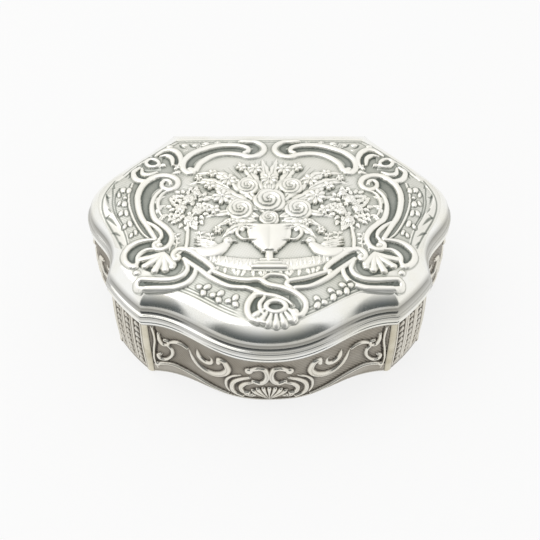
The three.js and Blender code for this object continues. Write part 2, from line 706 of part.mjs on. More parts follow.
const fieldBird = {
  body: { at: [12.9, -8.8], radii: [3.6, 1.7], turn: -6 },
  head: { at: [9.2, -6.4], radii: [1.2, 1.1] },
  wing: { from: [11.2, -7.6], to: [17, -6], halfWidth: 1.1, rise: 1 },
  tail: { from: [15, -8.6], to: [19.8, -8], halfWidth: 0.8 },
};
const fieldGround = {
  path: [[-20, -9], [-14, -10.6], [-7, -12.4], [0, -13], [7, -12.4], [14, -10.6], [20, -9]],
  halfWidth: 1.7,
  ends: 0.3,
};

function lidField() {
  const both = (make, mirror) => (piece) => [make(piece), make(mirror(piece))];
  const flip = ([x, y]) => [-x, y];
  const flipBoss = (piece) => ({ ...piece, at: flip(piece.at), turn: -(piece.turn ?? 0) });
  const flipLeaf = (piece) => ({ ...piece, from: flip(piece.from), to: flip(piece.to) });
  const flipPath = (piece) => ({ ...piece, path: piece.path.map(flip) });
  const stem = (piece) => ridge(piece, scrollRise, wallScrollFacet, onPanel);
  const paired = fieldFlowers.filter(({ at }) => at[0] > 0);
  const single = fieldFlowers.filter(({ at }) => at[0] === 0);
  return [
    ridge(fieldGround, 0.36, 2 * wallScrollFacet, onPanel),
    vase(fieldVase),
    ...fieldLeaves.flatMap(both(leaf, flipLeaf)),
    ...[...paired, fieldTree.crown, fieldBird.body, fieldBird.head].flatMap(both(boss, flipBoss)),
    ...single.map(boss),
    ...[fieldTree.trunk].flatMap(both(stem, flipPath)),
    ...[fieldBird.wing, fieldBird.tail].flatMap(both(leaf, flipLeaf)),
  ];
}

function lidOrnament() {
  const flip = ([x, y]) => [-x, y];
  const rightScrolls = leftScrolls.map((scroll) => ({ ...scroll, path: scroll.path.map(flip) }));
  const rightVolutes = leftVolutes.map((roll) => ({ ...roll, at: flip(roll.at) }));
  const rightShell = { ...leftShell, at: flip(leftShell.at), towards: 180 - leftShell.towards };
  return [
    ...[...leftScrolls, ...rightScrolls, ...frontScrolls].map(scrollBand),
    ...[...leftVolutes, ...rightVolutes].map(volute),
    ...[leftShell, rightShell, frontShell].map((shell) => shellFan(shell, scrollRise, onPanel)),
    ...lidField(),
  ];
}

// The stamped lid: hollow moulding, ovolo and domed panel in one sheet.
function lidShell() {
  const foot = lidFoot + bandHeight;
  const cove = quarter((t) => [
    coveFlare + coveDepth * Math.sin(t),
    foot + coveHeight * (1 - Math.cos(t)),
  ]);
  const ovolo = (thickness) => (t) => [
    panelInset - (ovoloWidth - thickness) * Math.cos(t),
    ovoloFoot + (ovoloHeight - thickness) * Math.sin(t),
  ];
  const outerFace = [...cove, ...quarter(ovolo(0))];
  const innerFace = [
    [coveFlare + sheetThickness, foot],
    [coveFlare + coveDepth + sheetThickness, foot + coveHeight],
    ...quarter(ovolo(sheetThickness)).slice(1),
  ];
  const samples = outlineSamples();
  const middle = lidMiddle;
  const ring = (corner) => samples.map((sample) => placed(sample, corner));
  const domed = (height, share) => {
    return ring([panelInset, height]).map((edge) => {
      const flat = new THREE.Vector2(edge.x, edge.y).sub(middle).multiplyScalar(share).add(middle);
      return new THREE.Vector3(flat.x, flat.y, height + domeRise * (1 - share * share));
    });
  };
  const shares = (count) => Array.from({ length: count }, (_, i) => (i + 1) / (count + 1));
  const innerEdge = panelEdge - sheetThickness;
  const rings = [
    ...shares(domeRings).map((share) => domed(panelEdge, share)),
    ...outerFace.reverse().map(ring),
    ...innerFace.map(ring),
    ...shares(domeRings - 2).reverse().map((share) => domed(innerEdge, share)),
  ];
  const pole = (height) => new THREE.Vector3(middle.x, middle.y, height + domeRise);
  const shell = poleToPole(rings, pole(panelEdge), pole(innerEdge));
  return part("lid_shell", cutAway(joined([shell, ...lidOrnament()]), hingeNotch()), chasedSilver);
}

// Hinge pieces are drawn on their own axis: x away from the box, y up, z along the barrel.
function extruded(shape, length, facets) {
  const settings = { depth: length, bevelEnabled: false, curveSegments: facets };
  return new THREE.ExtrudeGeometry(shape, settings);
}

function knuckle(name, index) {
  const length = (hingeLength - (knuckleCount - 1) * knuckleGap) / knuckleCount;
  const tube = new THREE.Shape().absarc(0, 0, knuckleRadius, 0, 2 * Math.PI);
  tube.holes.push(new THREE.Path().absarc(0, 0, pinRadius + pinClearance, 0, 2 * Math.PI, true));
  const mesh = part(name, extruded(tube, length, barrelFacets), polishedSilver);
  mesh.position.z = -hingeLength / 2 + index * (length + knuckleGap);
  return mesh;
}

// A bearer is a channel round part of the barrel; the two meet behind it when the lid is open.
function bearer(name, from, to) {
  const channel = new THREE.Shape().absarc(0, 0, bearerRadius, from, to);
  channel.absarc(0, 0, bearerBore, to, from, true);
  const mesh = part(name, extruded(channel, hingeLength, barrelFacets), polishedSilver);
  mesh.position.z = -hingeLength / 2;
  return mesh;
}

function hingePin() {
  const half = hingeLength / 2;
  const domeShare = 0.6; // radius of the dome's flat, as a share of the pin's
  const profile = [
    new THREE.Vector2(0, -half - pinHeadLength),
    new THREE.Vector2(pinRadius * domeShare, -half - pinHeadLength),
    new THREE.Vector2(pinRadius, -half),
    new THREE.Vector2(pinRadius, half),
    new THREE.Vector2(pinRadius * domeShare, half + pinHeadLength),
    new THREE.Vector2(0, half + pinHeadLength),
  ];
  const pin = new THREE.LatheGeometry(profile, 2 * barrelFacets);
  pin.rotateX(Math.PI / 2);
  return part("hinge_pin", pin, polishedSilver);
}

const base = new THREE.Group();
base.add(bottomPlate());
base.add(wallPanel("front_panel", runs.front, frontWall));
base.add(wallPanel("ear_panel_right", runs.earRight));
base.add(wallPanel("side_panel_right", runs.sideRight, sideWall));
base.add(wallPanel("back_panel", runs.back, sideWall));
base.add(wallPanel("side_panel_left", runs.sideLeft, sideWall));
base.add(wallPanel("ear_panel_left", runs.earLeft));
base.add(cornerRib("rib_front_right", runs.front, runs.earRight));
base.add(cornerRib("rib_ear_right", runs.earRight, runs.sideRight));
base.add(cornerRib("rib_back_right", runs.sideRight, runs.back));
base.add(cornerRib("rib_back_left", runs.back, runs.sideLeft));
base.add(cornerRib("rib_ear_left", runs.sideLeft, runs.earLeft));
base.add(cornerRib("rib_front_left", runs.earLeft, runs.front));
base.add(baseRim());
base.add(bezel());

const lid = new THREE.Group();
lid.add(lidShell());
lid.add(lidBand());

const hinge = new THREE.Group();
hinge.position.set(0, hingeY, hingeZ);
hinge.rotation.set(Math.PI / 2, Math.PI / 2, 0);
const halfOpen = THREE.MathUtils.degToRad(openAngle / 2);
const meetingGap = knuckleGap / bearerRadius; // angle left between the bearers under the rim
hinge.add(bearer("lid_hinge_bearer", halfOpen, Math.PI - meetingGap));
hinge.add(bearer("base_hinge_bearer", Math.PI + meetingGap, 2 * Math.PI - halfOpen));
for (let index = 0; index < knuckleCount; index += 1) {
  const owner = index % 2 === 0 ? "base" : "lid";
  hinge.add(knuckle(`${owner}_knuckle_${index + 1}`, index));
}
hinge.add(hingePin());

const snuffBox = new THREE.Group();
snuffBox.add(base, lid, hinge);

export default snuffBox;
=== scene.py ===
import bpy
import math
import numpy as np
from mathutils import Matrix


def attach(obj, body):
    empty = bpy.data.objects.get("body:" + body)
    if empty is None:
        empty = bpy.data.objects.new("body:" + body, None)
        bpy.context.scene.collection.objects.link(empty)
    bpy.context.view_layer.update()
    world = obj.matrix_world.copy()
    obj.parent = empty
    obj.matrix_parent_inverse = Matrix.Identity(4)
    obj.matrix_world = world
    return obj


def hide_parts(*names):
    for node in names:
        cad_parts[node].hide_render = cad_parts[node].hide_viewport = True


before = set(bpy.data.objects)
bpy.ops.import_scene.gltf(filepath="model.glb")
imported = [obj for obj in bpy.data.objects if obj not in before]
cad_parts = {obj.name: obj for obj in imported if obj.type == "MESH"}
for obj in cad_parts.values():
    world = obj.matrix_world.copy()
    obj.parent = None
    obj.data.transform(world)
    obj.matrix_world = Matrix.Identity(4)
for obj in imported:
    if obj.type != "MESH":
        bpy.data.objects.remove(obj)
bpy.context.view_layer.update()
scene = bpy.context.scene
scene.view_settings.view_transform = "Standard"
mm = 0.001  # drawing sizes are in millimetres, meshes in metres


def linearColour(hexCode):  # sRGB hex to linear
    shares = [int(hexCode[i:i + 2], 16) / 255 for i in (1, 3, 5)]
    return tuple(c / 12.92 if c <= 0.04045 else ((c + 0.055) / 1.055) ** 2.4 for c in shares) + (1.0,)


def addNode(tree, kind, inputs=None, **settings):  # a node with its settings, values and links
    node = tree.nodes.new(kind)
    for name, value in settings.items():
        setattr(node, name, value)
    for key, value in (inputs or {}).items():
        if isinstance(value, bpy.types.Node):  # a node stands for its first output
            value = value.outputs[0]
        if isinstance(value, bpy.types.NodeSocket):
            tree.links.new(value, node.inputs[key])
        else:
            node.inputs[key].default_value = value
    return node


def newMaterial(name):
    material = bpy.data.materials.new(name)
    material.use_nodes = True
    material.node_tree.nodes.clear()
    return material, material.node_tree


# chased silver: bright on every high point, dark silver sulphide left in the hollows by polishing
chasing = {"noise": (0.3, 0.7), "drift": 0.1, "speck": 0.07, "middleAt": 0.45, "bump": 0.12,
           "grainDeep": 0.04}


def chasedSilver(name, look):
    material, tree = newMaterial(name)
    place = addNode(tree, "ShaderNodeTexCoord").outputs["Object"]
    patina = addNode(tree, "ShaderNodeAttribute", attribute_name="patina").outputs["Fac"]
    cloud = addNode(tree, "ShaderNodeTexNoise", {
        "Vector": place, "Scale": 1 / (look["cloud"] * mm), "Detail": 3.0})
    grain = addNode(tree, "ShaderNodeTexNoise", {
        "Vector": place, "Scale": 1 / (look["grain"] * mm), "Detail": 2.0})
    low, high = chasing["noise"]
    drift = addNode(tree, "ShaderNodeMapRange", {
        "Value": cloud, "From Min": low, "From Max": high, "To Min": -chasing["drift"],
        "To Max": chasing["drift"]})
    speck = addNode(tree, "ShaderNodeMapRange", {
        "Value": grain, "From Min": low, "From Max": high, "To Min": -chasing["speck"],
        "To Max": chasing["speck"]})
    uneven = addNode(tree, "ShaderNodeMath", {0: drift, 1: speck}, operation="ADD")
    fade = addNode(tree, "ShaderNodeMath", {0: uneven, 1: patina}, operation="MULTIPLY")
    tone = addNode(tree, "ShaderNodeMath", {0: patina, 1: fade}, operation="ADD", use_clamp=True)
    ramp = addNode(tree, "ShaderNodeValToRGB", {"Fac": tone})
    stops = ramp.color_ramp.elements
    stops[0].color = linearColour(look["bright"])
    stops[1].color = linearColour(look["dark"])
    middle = stops.new(chasing["middleAt"])
    middle.color = linearColour(look["middle"])
    tint = addNode(tree, "ShaderNodeMixRGB", {
        "Fac": cloud, "Color1": ramp, "Color2": linearColour(look["tarnish"])}, blend_type="MULTIPLY")
    dull = addNode(tree, "ShaderNodeMapRange",
                   {"Value": tone, "To Min": look["polish"], "To Max": look["matt"]})
    bump = addNode(tree, "ShaderNodeBump", {
        "Height": grain, "Strength": chasing["bump"], "Distance": chasing["grainDeep"] * mm})
    shader = addNode(tree, "ShaderNodeBsdfPrincipled", {
        "Base Color": tint, "Metallic": 1.0, "Roughness": dull, "Normal": bump})
    addNode(tree, "ShaderNodeOutputMaterial", {"Surface": shader})
    return material


# polished silver or gilding: clear reflections, broken a little by soft dents, thin tarnish and rubbing
polishing = {"cleanTo": 0.38, "tarnishFrom": 0.72, "rubbed": 0.3, "dull": (0.1, 0.45), "bump": 0.1,
             "dentDeep": 0.05}


def polishedMetal(name, look):
    material, tree = newMaterial(name)
    place = addNode(tree, "ShaderNodeTexCoord").outputs["Object"]
    patina = addNode(tree, "ShaderNodeAttribute", attribute_name="patina").outputs["Fac"]
    film = addNode(tree, "ShaderNodeTexNoise", {
        "Vector": place, "Scale": 1 / (look["film"] * mm), "Detail": 4.0})
    stretch = addNode(tree, "ShaderNodeMapping", {"Vector": place, "Scale": look["rubbing"]})
    rubbed = addNode(tree, "ShaderNodeTexNoise", {"Vector": stretch, "Scale": 1 / (polishing["rubbed"] * mm)})
    dents = addNode(tree, "ShaderNodeTexNoise", {
        "Vector": place, "Scale": 1 / (look["dents"] * mm), "Detail": 1.0})
    ramp = addNode(tree, "ShaderNodeValToRGB", {"Fac": film})
    stops = ramp.color_ramp.elements
    stops[0].position, stops[1].position = polishing["cleanTo"], polishing["tarnishFrom"]
    stops[0].color, stops[1].color = linearColour(look["clean"]), linearColour(look["tarnish"])
    settled = addNode(tree, "ShaderNodeMixRGB", {
        "Fac": patina, "Color1": ramp, "Color2": linearColour(look["hollow"])})  # dark tarnish lines in hollows; on the mouldings and pilasters also painted shade and a painted reflection
    both = addNode(tree, "ShaderNodeMath", {0: film, 1: rubbed}, operation="MULTIPLY")
    low, high = polishing["dull"]
    dull = addNode(tree, "ShaderNodeMapRange", {
        "Value": both, "From Min": low, "From Max": high, "To Min": look["polish"], "To Max": look["matt"]})
    bump = addNode(tree, "ShaderNodeBump", {
        "Height": dents, "Strength": polishing["bump"], "Distance": polishing["dentDeep"] * mm})
    shader = addNode(tree, "ShaderNodeBsdfPrincipled", {
        "Base Color": settled, "Metallic": 1.0, "Roughness": dull, "Normal": bump})
    addNode(tree, "ShaderNodeOutputMaterial", {"Surface": shader})
    return material


# stamped sheet that hands and cloths reach: white high points, thin grey in the hollows
lidSilver = chasedSilver("silver_stamped_and_chased", {
    "bright": "#FCFBF7", "middle": "#BFC1BB", "dark": "#6E7470", "tarnish": "#F8F6EE",
    "polish": 0.38, "matt": 0.56, "cloud": 7.0, "grain": 0.3})
# the walls are rubbed less: warmer, with a dark ground behind their scrolls
wallSilver = chasedSilver("silver_chased_warm_tarnish", {
    "bright": "#EFEDE6", "middle": "#A39E95", "dark": "#4B4743", "tarnish": "#F2EDE2",
    "polish": 0.24, "matt": 0.5, "cloud": 6.0, "grain": 0.3})
# buffed mouldings mirror the studio and keep dark lines in their grooves, with painted shade in the hollow
# under the ovolo and a painted dark reflection on its lip
mouldingSilver = polishedMetal("silver_polished_moulding", {
    "clean": "#F6F6F3", "tarnish": "#EFEDE2", "hollow": "#77756E", "polish": 0.09, "matt": 0.2,
    "film": 9.0, "dents": 6.0, "rubbing": (1.0, 1.0, 0.25)})
# the pilasters keep a yellowed tarnish film between their edges, where the hollow colour is painted on as
# shade
ribSilver = polishedMetal("silver_pilaster_warm_tarnish", {
    "clean": "#E4DECB", "tarnish": "#CBC3AC", "hollow": "#57534A", "polish": 0.16, "matt": 0.32,
    "film": 4.0, "dents": 4.0, "rubbing": (1.0, 1.0, 0.25)})
# hammered flat and left unbuffed: a soft, streaked sheen
plainSilver = polishedMetal("silver_planished_bottom", {
    "clean": "#E9E8E3", "tarnish": "#CFCBBF", "hollow": "#77756E", "polish": 0.16, "matt": 0.34,
    "film": 6.0, "dents": 3.0, "rubbing": (0.15, 1.0, 1.0)})
# fire gilding: warm and a little matt, with cloudy patches
giltSilver = polishedMetal("silver_gilt_inside", {
    "clean": "#EACF90", "tarnish": "#DDBC79", "hollow": "#8A6A34", "polish": 0.26, "matt": 0.4,
    "film": 11.0, "dents": 5.0, "rubbing": (0.3, 1.0, 1.0)})
print("materials made")

# the outline of the lid edge seen from above, in six runs between its corners
outlineSizes = {
    "lidWidth": 86.0, "lidDepth": 64.0, "barrel": 1.2, "hingeSide": 49.0,
    "lobeBack": 23.5, "neckBack": 40.0, "earBack": 44.5, "cornerBack": 54.1,
    "neckIn": 6.7, "earIn": 6.3, "cornerIn": 14.7, "earSwell": 0.5,
    "rearRun": 8.5, "rearDrop": 10.5, "lobeRearPull": 7.5, "lobeFrontPull": 8.0,
    "neckPull": 7.5, "cornerPull": 11.0, "bowPull": 13.8, "bowLean": 1.9,
}
frontY = -(outlineSizes["lidDepth"] + outlineSizes["barrel"]) / 2
hingeY = frontY + outlineSizes["lidDepth"]
halfWidth = outlineSizes["lidWidth"] / 2


def bezier(controls, count=240):
    t = np.linspace(0, 1, count)[:, None]
    layers = [np.array([point], float) for point in controls]
    while len(layers) > 1:
        layers = [a * (1 - t) + b * t for a, b in zip(layers, layers[1:])]
    return layers[0]


def mirrorRun(points):  # the same run on the left, still going round the same way
    return points[::-1] * [-1, 1]


def outlineRuns():
    s = outlineSizes
    bow = np.array([0, frontY])
    corner = np.array([halfWidth - s["cornerIn"], hingeY - s["cornerBack"]])
    ear = np.array([halfWidth - s["earIn"], hingeY - s["earBack"]])
    neck = np.array([halfWidth - s["neckIn"], hingeY - s["neckBack"]])
    lobe = np.array([halfWidth, hingeY - s["lobeBack"]])
    rear = np.array([s["hingeSide"] / 2, hingeY])
    earOut = np.array([ear[1] - corner[1], corner[0] - ear[0]])
    earMiddle = (corner + ear) / 2 + 2 * s["earSwell"] * earOut / np.linalg.norm(earOut)
    front = bezier([bow, bow + [s["bowPull"], 0], corner - [s["cornerPull"], 0], corner])
    earRun = bezier([corner, earMiddle, ear])
    side = np.concatenate([
        bezier([ear, neck], 40)[:-1],
        bezier([neck, neck + [0, s["neckPull"]], lobe - [0, s["lobeFrontPull"]], lobe])[:-1],
        bezier([lobe, lobe + [0, s["lobeRearPull"]], rear + [s["rearRun"], -s["rearDrop"]], rear])])
    return {
        "front": np.concatenate([mirrorRun(front)[:-1], front]), "earRight": earRun, "sideRight": side,
        "back": bezier([rear, rear * [-1, 1]]), "sideLeft": mirrorRun(side), "earLeft": mirrorRun(earRun)}


def bowShare(spots):  # how much of the front's lean a point has: none at the corners, all in the middle
    cornerX = halfWidth - outlineSizes["cornerIn"]
    share = np.clip(1 - np.abs(spots[:, 0]) / cornerX, 0, 1)
    inFront = spots[:, 1] <= hingeY - outlineSizes["cornerBack"] + 1e-6
    return np.where(inFront, share * share * (3 - 2 * share), 0.0)


def evenRun(points, spacing, trim=0.0):  # stations along a run with their outward directions
    legs = np.linalg.norm(np.diff(points, axis=0), axis=1)
    travel = np.concatenate([[0], np.cumsum(legs)])
    count = max(2, round((travel[-1] - 2 * trim) / spacing) + 1)
    at = np.linspace(trim, travel[-1] - trim, count)

    def spotAt(distance):
        distance = np.clip(distance, 0, travel[-1])
        return np.stack([np.interp(distance, travel, points[:, k]) for k in (0, 1)], 1)

    reach = 0.15  # directions are read this far each way
    ahead = spotAt(at + reach) - spotAt(at - reach)
    ahead /= np.linalg.norm(ahead, axis=1)[:, None]
    spots = spotAt(at)
    return {"at": at - travel[-1] / 2, "spot": spots, "out": np.stack([ahead[:, 1], -ahead[:, 0]], 1),
            "bow": bowShare(spots)}


def foldReach(arriving, leaving, depth):  # how near to a corner an inset of that depth would fold over
    turn = math.atan2(arriving[0] * leaving[1] - arriving[1] * leaving[0], arriving @ leaving)
    spare = 1.08
    return max(0.0, spare * depth * math.tan(turn / 2))


def outlineRing(spacing, depth):  # the whole outline, mitred at the corners for insets up to that depth
    parts = [evenRun(points, spacing) for points in runs.values()]
    spots, outs = [], []
    for index, part in enumerate(parts):
        arriving, leaving = parts[index - 1]["out"][-1], part["out"][0]
        corner = (arriving + leaving) / (1 + arriving @ leaving)
        nextLeaving = parts[(index + 1) % len(parts)]["out"][0]
        travel = part["at"] - part["at"][0]
        clear = travel > max(foldReach(arriving, leaving, depth), 1e-6)
        clear &= travel < travel[-1] - max(foldReach(part["out"][-1], nextLeaving, depth), 1e-6)
        spots += [part["spot"][:1], part["spot"][clear]]
        outs += [corner[None, :], part["out"][clear]]
    spots = np.concatenate(spots)
    return {"spot": spots, "out": np.concatenate(outs), "bow": bowShare(spots)}


runs = outlineRuns()

baseSizes = {
    "height": 21.5, "bottom": 0.8, "wall": 0.9, "wallIn": 1.0, "belly": 0.35, "footHeight": 1.5,
    "footOut": 0.25, "rimHeight": 1.9, "rimLedge": 0.7, "ribHalf": 1.2, "ribOut": 0.35, "seam": 0.05,
    "bezel": 0.6, "bezelRise": 2.2, "bezelDrop": 3.0,
}
lidSizes = {
    "parting": 0.12, "clearance": 0.25, "band": 1.8, "sheet": 0.8, "coveFlare": 0.45, "coveDepth": 1.0,
    "coveHeight": 1.9, "ovoloIn": 0.9, "lip": 0.2, "ovoloWidth": 3.7, "ovoloHeight": 3.3, "dome": 1.8,
}
rimFoot = baseSizes["height"] - baseSizes["rimHeight"]
rimInner = baseSizes["wallIn"] + baseSizes["wall"] + baseSizes["rimLedge"]
bezelOuter = rimInner + baseSizes["seam"]
lidFoot = baseSizes["height"] + lidSizes["parting"]
bandTop = lidFoot + lidSizes["band"]
ovoloFoot = bandTop + lidSizes["coveHeight"] + lidSizes["lip"]
panelIn = lidSizes["ovoloIn"] + lidSizes["ovoloWidth"]
panelEdge = ovoloFoot + lidSizes["ovoloHeight"]


# plain mesh helpers
def meshFrom(name, points, faces):
    mesh = bpy.data.meshes.new(name)
    points = np.asarray(points, np.float32)
    corners = np.concatenate([np.asarray(face).ravel() for face in faces]).astype(np.int32)
    sizes = np.concatenate([np.full(len(face), len(face[0])) for face in faces]).astype(np.int32)
    mesh.vertices.add(len(points))
    mesh.vertices.foreach_set("co", (points * mm).ravel())
    mesh.loops.add(len(corners))
    mesh.loops.foreach_set("vertex_index", corners)
    mesh.polygons.add(len(sizes))
    mesh.polygons.foreach_set("loop_start", np.concatenate([[0], np.cumsum(sizes)[:-1]]).astype(np.int32))
    mesh.polygons.foreach_set("use_smooth", np.ones(len(sizes), bool))
    mesh.update(calc_edges=True)
    return mesh


def gridQuads(shape, wrap=(0, 0)):  # the corners of each cell of a grid of points, closed round where told
    index = np.arange(shape[0] * shape[1]).reshape(shape[:2])
    index = np.pad(index, [(0, turns) for turns in wrap], mode="wrap")
    return np.stack([index[:-1, :-1], index[:-1, 1:], index[1:, 1:], index[1:, :-1]], -1)


def setPatina(mesh, values):
    layer = mesh.attributes.new("patina", "FLOAT", "POINT")
    layer.data.foreach_set("value", np.asarray(values, np.float32).ravel())


def newPiece(name, mesh, materials, body, nodes):
    piece = bpy.data.objects.new(name, mesh)
    scene.collection.objects.link(piece)
    if mesh.materials:  # clearing resets the faces' slots, so only a mesh from a node tree is cleared
        mesh.materials.clear()
    for material in materials:
        mesh.materials.append(material)
    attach(piece, body)
    if nodes:
        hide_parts(*nodes)
    return piece


def faceOutwards(mesh):  # a closed mesh with a negative volume is turned round
    points = np.zeros(len(mesh.vertices) * 3)
    mesh.vertices.foreach_get("co", points)
    points = points.reshape(-1, 3)
    mesh.calc_loop_triangles()
    corners = np.zeros(len(mesh.loop_triangles) * 3, np.int32)
    mesh.loop_triangles.foreach_get("vertices", corners)
    a, b, c = (points[corners.reshape(-1, 3)[:, k]] for k in range(3))
    if np.einsum("ij,ij->", a, np.cross(b, c)) < 0:
        mesh.flip_normals()


def treeWith(name, inputs):  # an empty geometry tree with named inputs
    tree = bpy.data.node_groups.new(name, "GeometryNodeTree")
    for label, kind in inputs:
        tree.interface.new_socket(name=label, in_out="INPUT", socket_type=kind)
    tree.interface.new_socket(name="Geometry", in_out="OUTPUT", socket_type="NodeSocketGeometry")
    return tree


def grown(name, guideMesh, tree, values):  # runs a tree on a guide mesh and keeps the plain result
    holder = bpy.data.objects.new(name, guideMesh)
    scene.collection.objects.link(holder)
    modifier = holder.modifiers.new(name, "NODES")
    modifier.node_group = tree
    for item in tree.interface.items_tree:
        if item.in_out == "INPUT" and item.name in values:
            modifier[item.identifier] = values[item.name]
    bpy.context.view_layer.update()
    depsgraph = bpy.context.evaluated_depsgraph_get()
    mesh = bpy.data.meshes.new_from_object(holder.evaluated_get(depsgraph))
    mesh.name = name
    holder.modifiers.remove(modifier)
    bpy.data.objects.remove(holder)
    return mesh


def helperObject(name, mesh):
    helper = bpy.data.objects.new(name, mesh)
    scene.collection.objects.link(helper)
    return helper


# mouldings: a section carried round the outline, mitred at its corners
def mouldingTree():
    tree = treeWith("mouldingRound", [
        ("Outline", "NodeSocketObject"), ("Section", "NodeSocketObject"), ("Outline Points", "NodeSocketInt"),
        ("Section Points", "NodeSocketInt"), ("Finish", "NodeSocketMaterial")])
    given = addNode(tree, "NodeGroupInput").outputs
    outline = addNode(tree, "GeometryNodeObjectInfo", {"Object": given["Outline"]}).outputs["Geometry"]
    section = addNode(tree, "GeometryNodeObjectInfo", {"Object": given["Section"]}).outputs["Geometry"]
    count = given["Section Points"]
    grid = addNode(tree, "GeometryNodeMeshGrid", {"Vertices X": given["Outline Points"], "Vertices Y": count})
    index = addNode(tree, "GeometryNodeInputIndex")
    station = addNode(tree, "FunctionNodeIntegerMath", {0: index, 1: count}, operation="DIVIDE_FLOOR")
    corner = addNode(tree, "FunctionNodeIntegerMath", {0: index, 1: count}, operation="MODULO")
    place = addNode(tree, "GeometryNodeInputPosition")
    outward = addNode(tree, "GeometryNodeInputNamedAttribute", {"Name": "outward"}, data_type="FLOAT_VECTOR")
    tone = addNode(tree, "GeometryNodeInputNamedAttribute", {"Name": "tone"}, data_type="FLOAT")
    read = {}  # each value at this point's station of the outline or corner of the section
    for name, guide, value, at, kind in (
            ("spot", outline, place, station, "FLOAT_VECTOR"),
            ("out", outline, outward, station, "FLOAT_VECTOR"),
            ("corner", section, place, corner, "FLOAT_VECTOR"), ("tone", section, tone, corner, "FLOAT")):
        read[name] = addNode(tree, "GeometryNodeSampleIndex", {
            "Geometry": guide, "Value": value, "Index": at}, data_type=kind)
    toned = addNode(tree, "GeometryNodeStoreNamedAttribute", {
        "Geometry": grid, "Name": "patina", "Value": read["tone"]}, data_type="FLOAT")
    size = addNode(tree, "ShaderNodeSeparateXYZ", {0: read["corner"]}).outputs  # X is the inset, Z the height
    pull = addNode(tree, "ShaderNodeVectorMath", {0: read["out"], "Scale": size["X"]}, operation="SCALE")
    inward = addNode(tree, "ShaderNodeVectorMath", {0: read["spot"], 1: pull}, operation="SUBTRACT")
    height = addNode(tree, "ShaderNodeCombineXYZ", {"Z": size["Z"]})
    spot = addNode(tree, "ShaderNodeVectorMath", {0: inward, 1: height}, operation="ADD")
    shaped = addNode(tree, "GeometryNodeSetPosition", {"Geometry": toned, "Position": spot})
    closed = addNode(tree, "GeometryNodeMergeByDistance", {"Geometry": shaped, "Distance": 0.002 * mm})
    real = addNode(tree, "GeometryNodeRealizeInstances", {0: closed})
    done = addNode(tree, "GeometryNodeSetMaterial", {"Geometry": real, "Material": given["Finish"]})
    addNode(tree, "NodeGroupOutput", {0: done})
    return tree


def outlineGuide(spacing):
    ring = outlineRing(spacing, panelIn)
    spots = np.concatenate([ring["spot"], ring["spot"][:1]])
    outs = np.concatenate([ring["out"], ring["out"][:1]])
    mesh = bpy.data.meshes.new("outlineGuide")
    mesh.from_pydata([(x * mm, y * mm, 0) for x, y in spots], [], [])
    outward = mesh.attributes.new("outward", "FLOAT_VECTOR", "POINT")
    outward.data.foreach_set("vector", np.c_[outs, np.zeros(len(outs))].astype(np.float32).ravel())
    return helperObject("outlineGuide", mesh), len(spots)


def arc(middle, radii, start, end, count=10):  # part of an ellipse in a section, angles in degrees
    angle = np.radians(np.linspace(start, end, count))
    return [(middle[0] + radii[0] * math.cos(a), middle[1] + radii[1] * math.sin(a)) for a in angle]


def moulding(name, section, finish, sharpAngle=38):  # section corners are inset, height and, where dark, tone
    corners = [(corner[0] * mm, 0.0, corner[1] * mm) for corner in section + section[:1]]
    tones = [corner[2] if len(corner) > 2 else 0.0 for corner in section + section[:1]]
    mesh = bpy.data.meshes.new(name + "Section")
    mesh.from_pydata(corners, [], [])
    mesh.attributes.new("tone", "FLOAT", "POINT").data.foreach_set("value", tones)
    sectionGuide = helperObject(name + "Section", mesh)
    made = grown(name, bpy.data.meshes.new(name + "Start"), mouldingSweep, {
        "Outline": ringGuide, "Section": sectionGuide, "Outline Points": ringCount,
        "Section Points": len(corners), "Finish": finish})
    bpy.data.objects.remove(sectionGuide)
    faceOutwards(made)
    made.polygons.foreach_set("use_smooth", np.ones(len(made.polygons), bool))
    made.set_sharp_from_angle(angle=math.radians(sharpAngle))
    return made


mouldingSweep = mouldingTree()
ringGuide, ringCount = outlineGuide(0.3)

# the ovolo is a shallow round, not a full quarter: its radius follows from chord and turn
ovoloRound = {"turn": math.radians(54), "lean": math.atan2(lidSizes["ovoloWidth"], lidSizes["ovoloHeight"])}
ovoloChord = math.hypot(lidSizes["ovoloWidth"], lidSizes["ovoloHeight"])
ovoloRound["radius"] = ovoloChord / 2 / math.sin(ovoloRound["turn"] / 2)
ovoloTop = ovoloRound["lean"] + ovoloRound["turn"] / 2  # angle of its surface's facing at the panel


def ovoloDrop(away):  # height below the panel's edge at a distance outside it
    radius = ovoloRound["radius"]
    across = away + radius * math.cos(ovoloTop)
    return np.sqrt(np.maximum(radius ** 2 - across ** 2, 0)) - radius * math.sin(ovoloTop)


ovoloAngles = np.linspace(ovoloTop - ovoloRound["turn"], ovoloTop, 26)
ovoloWay = ovoloRound["radius"] * (np.cos(ovoloAngles) - math.cos(ovoloTop))
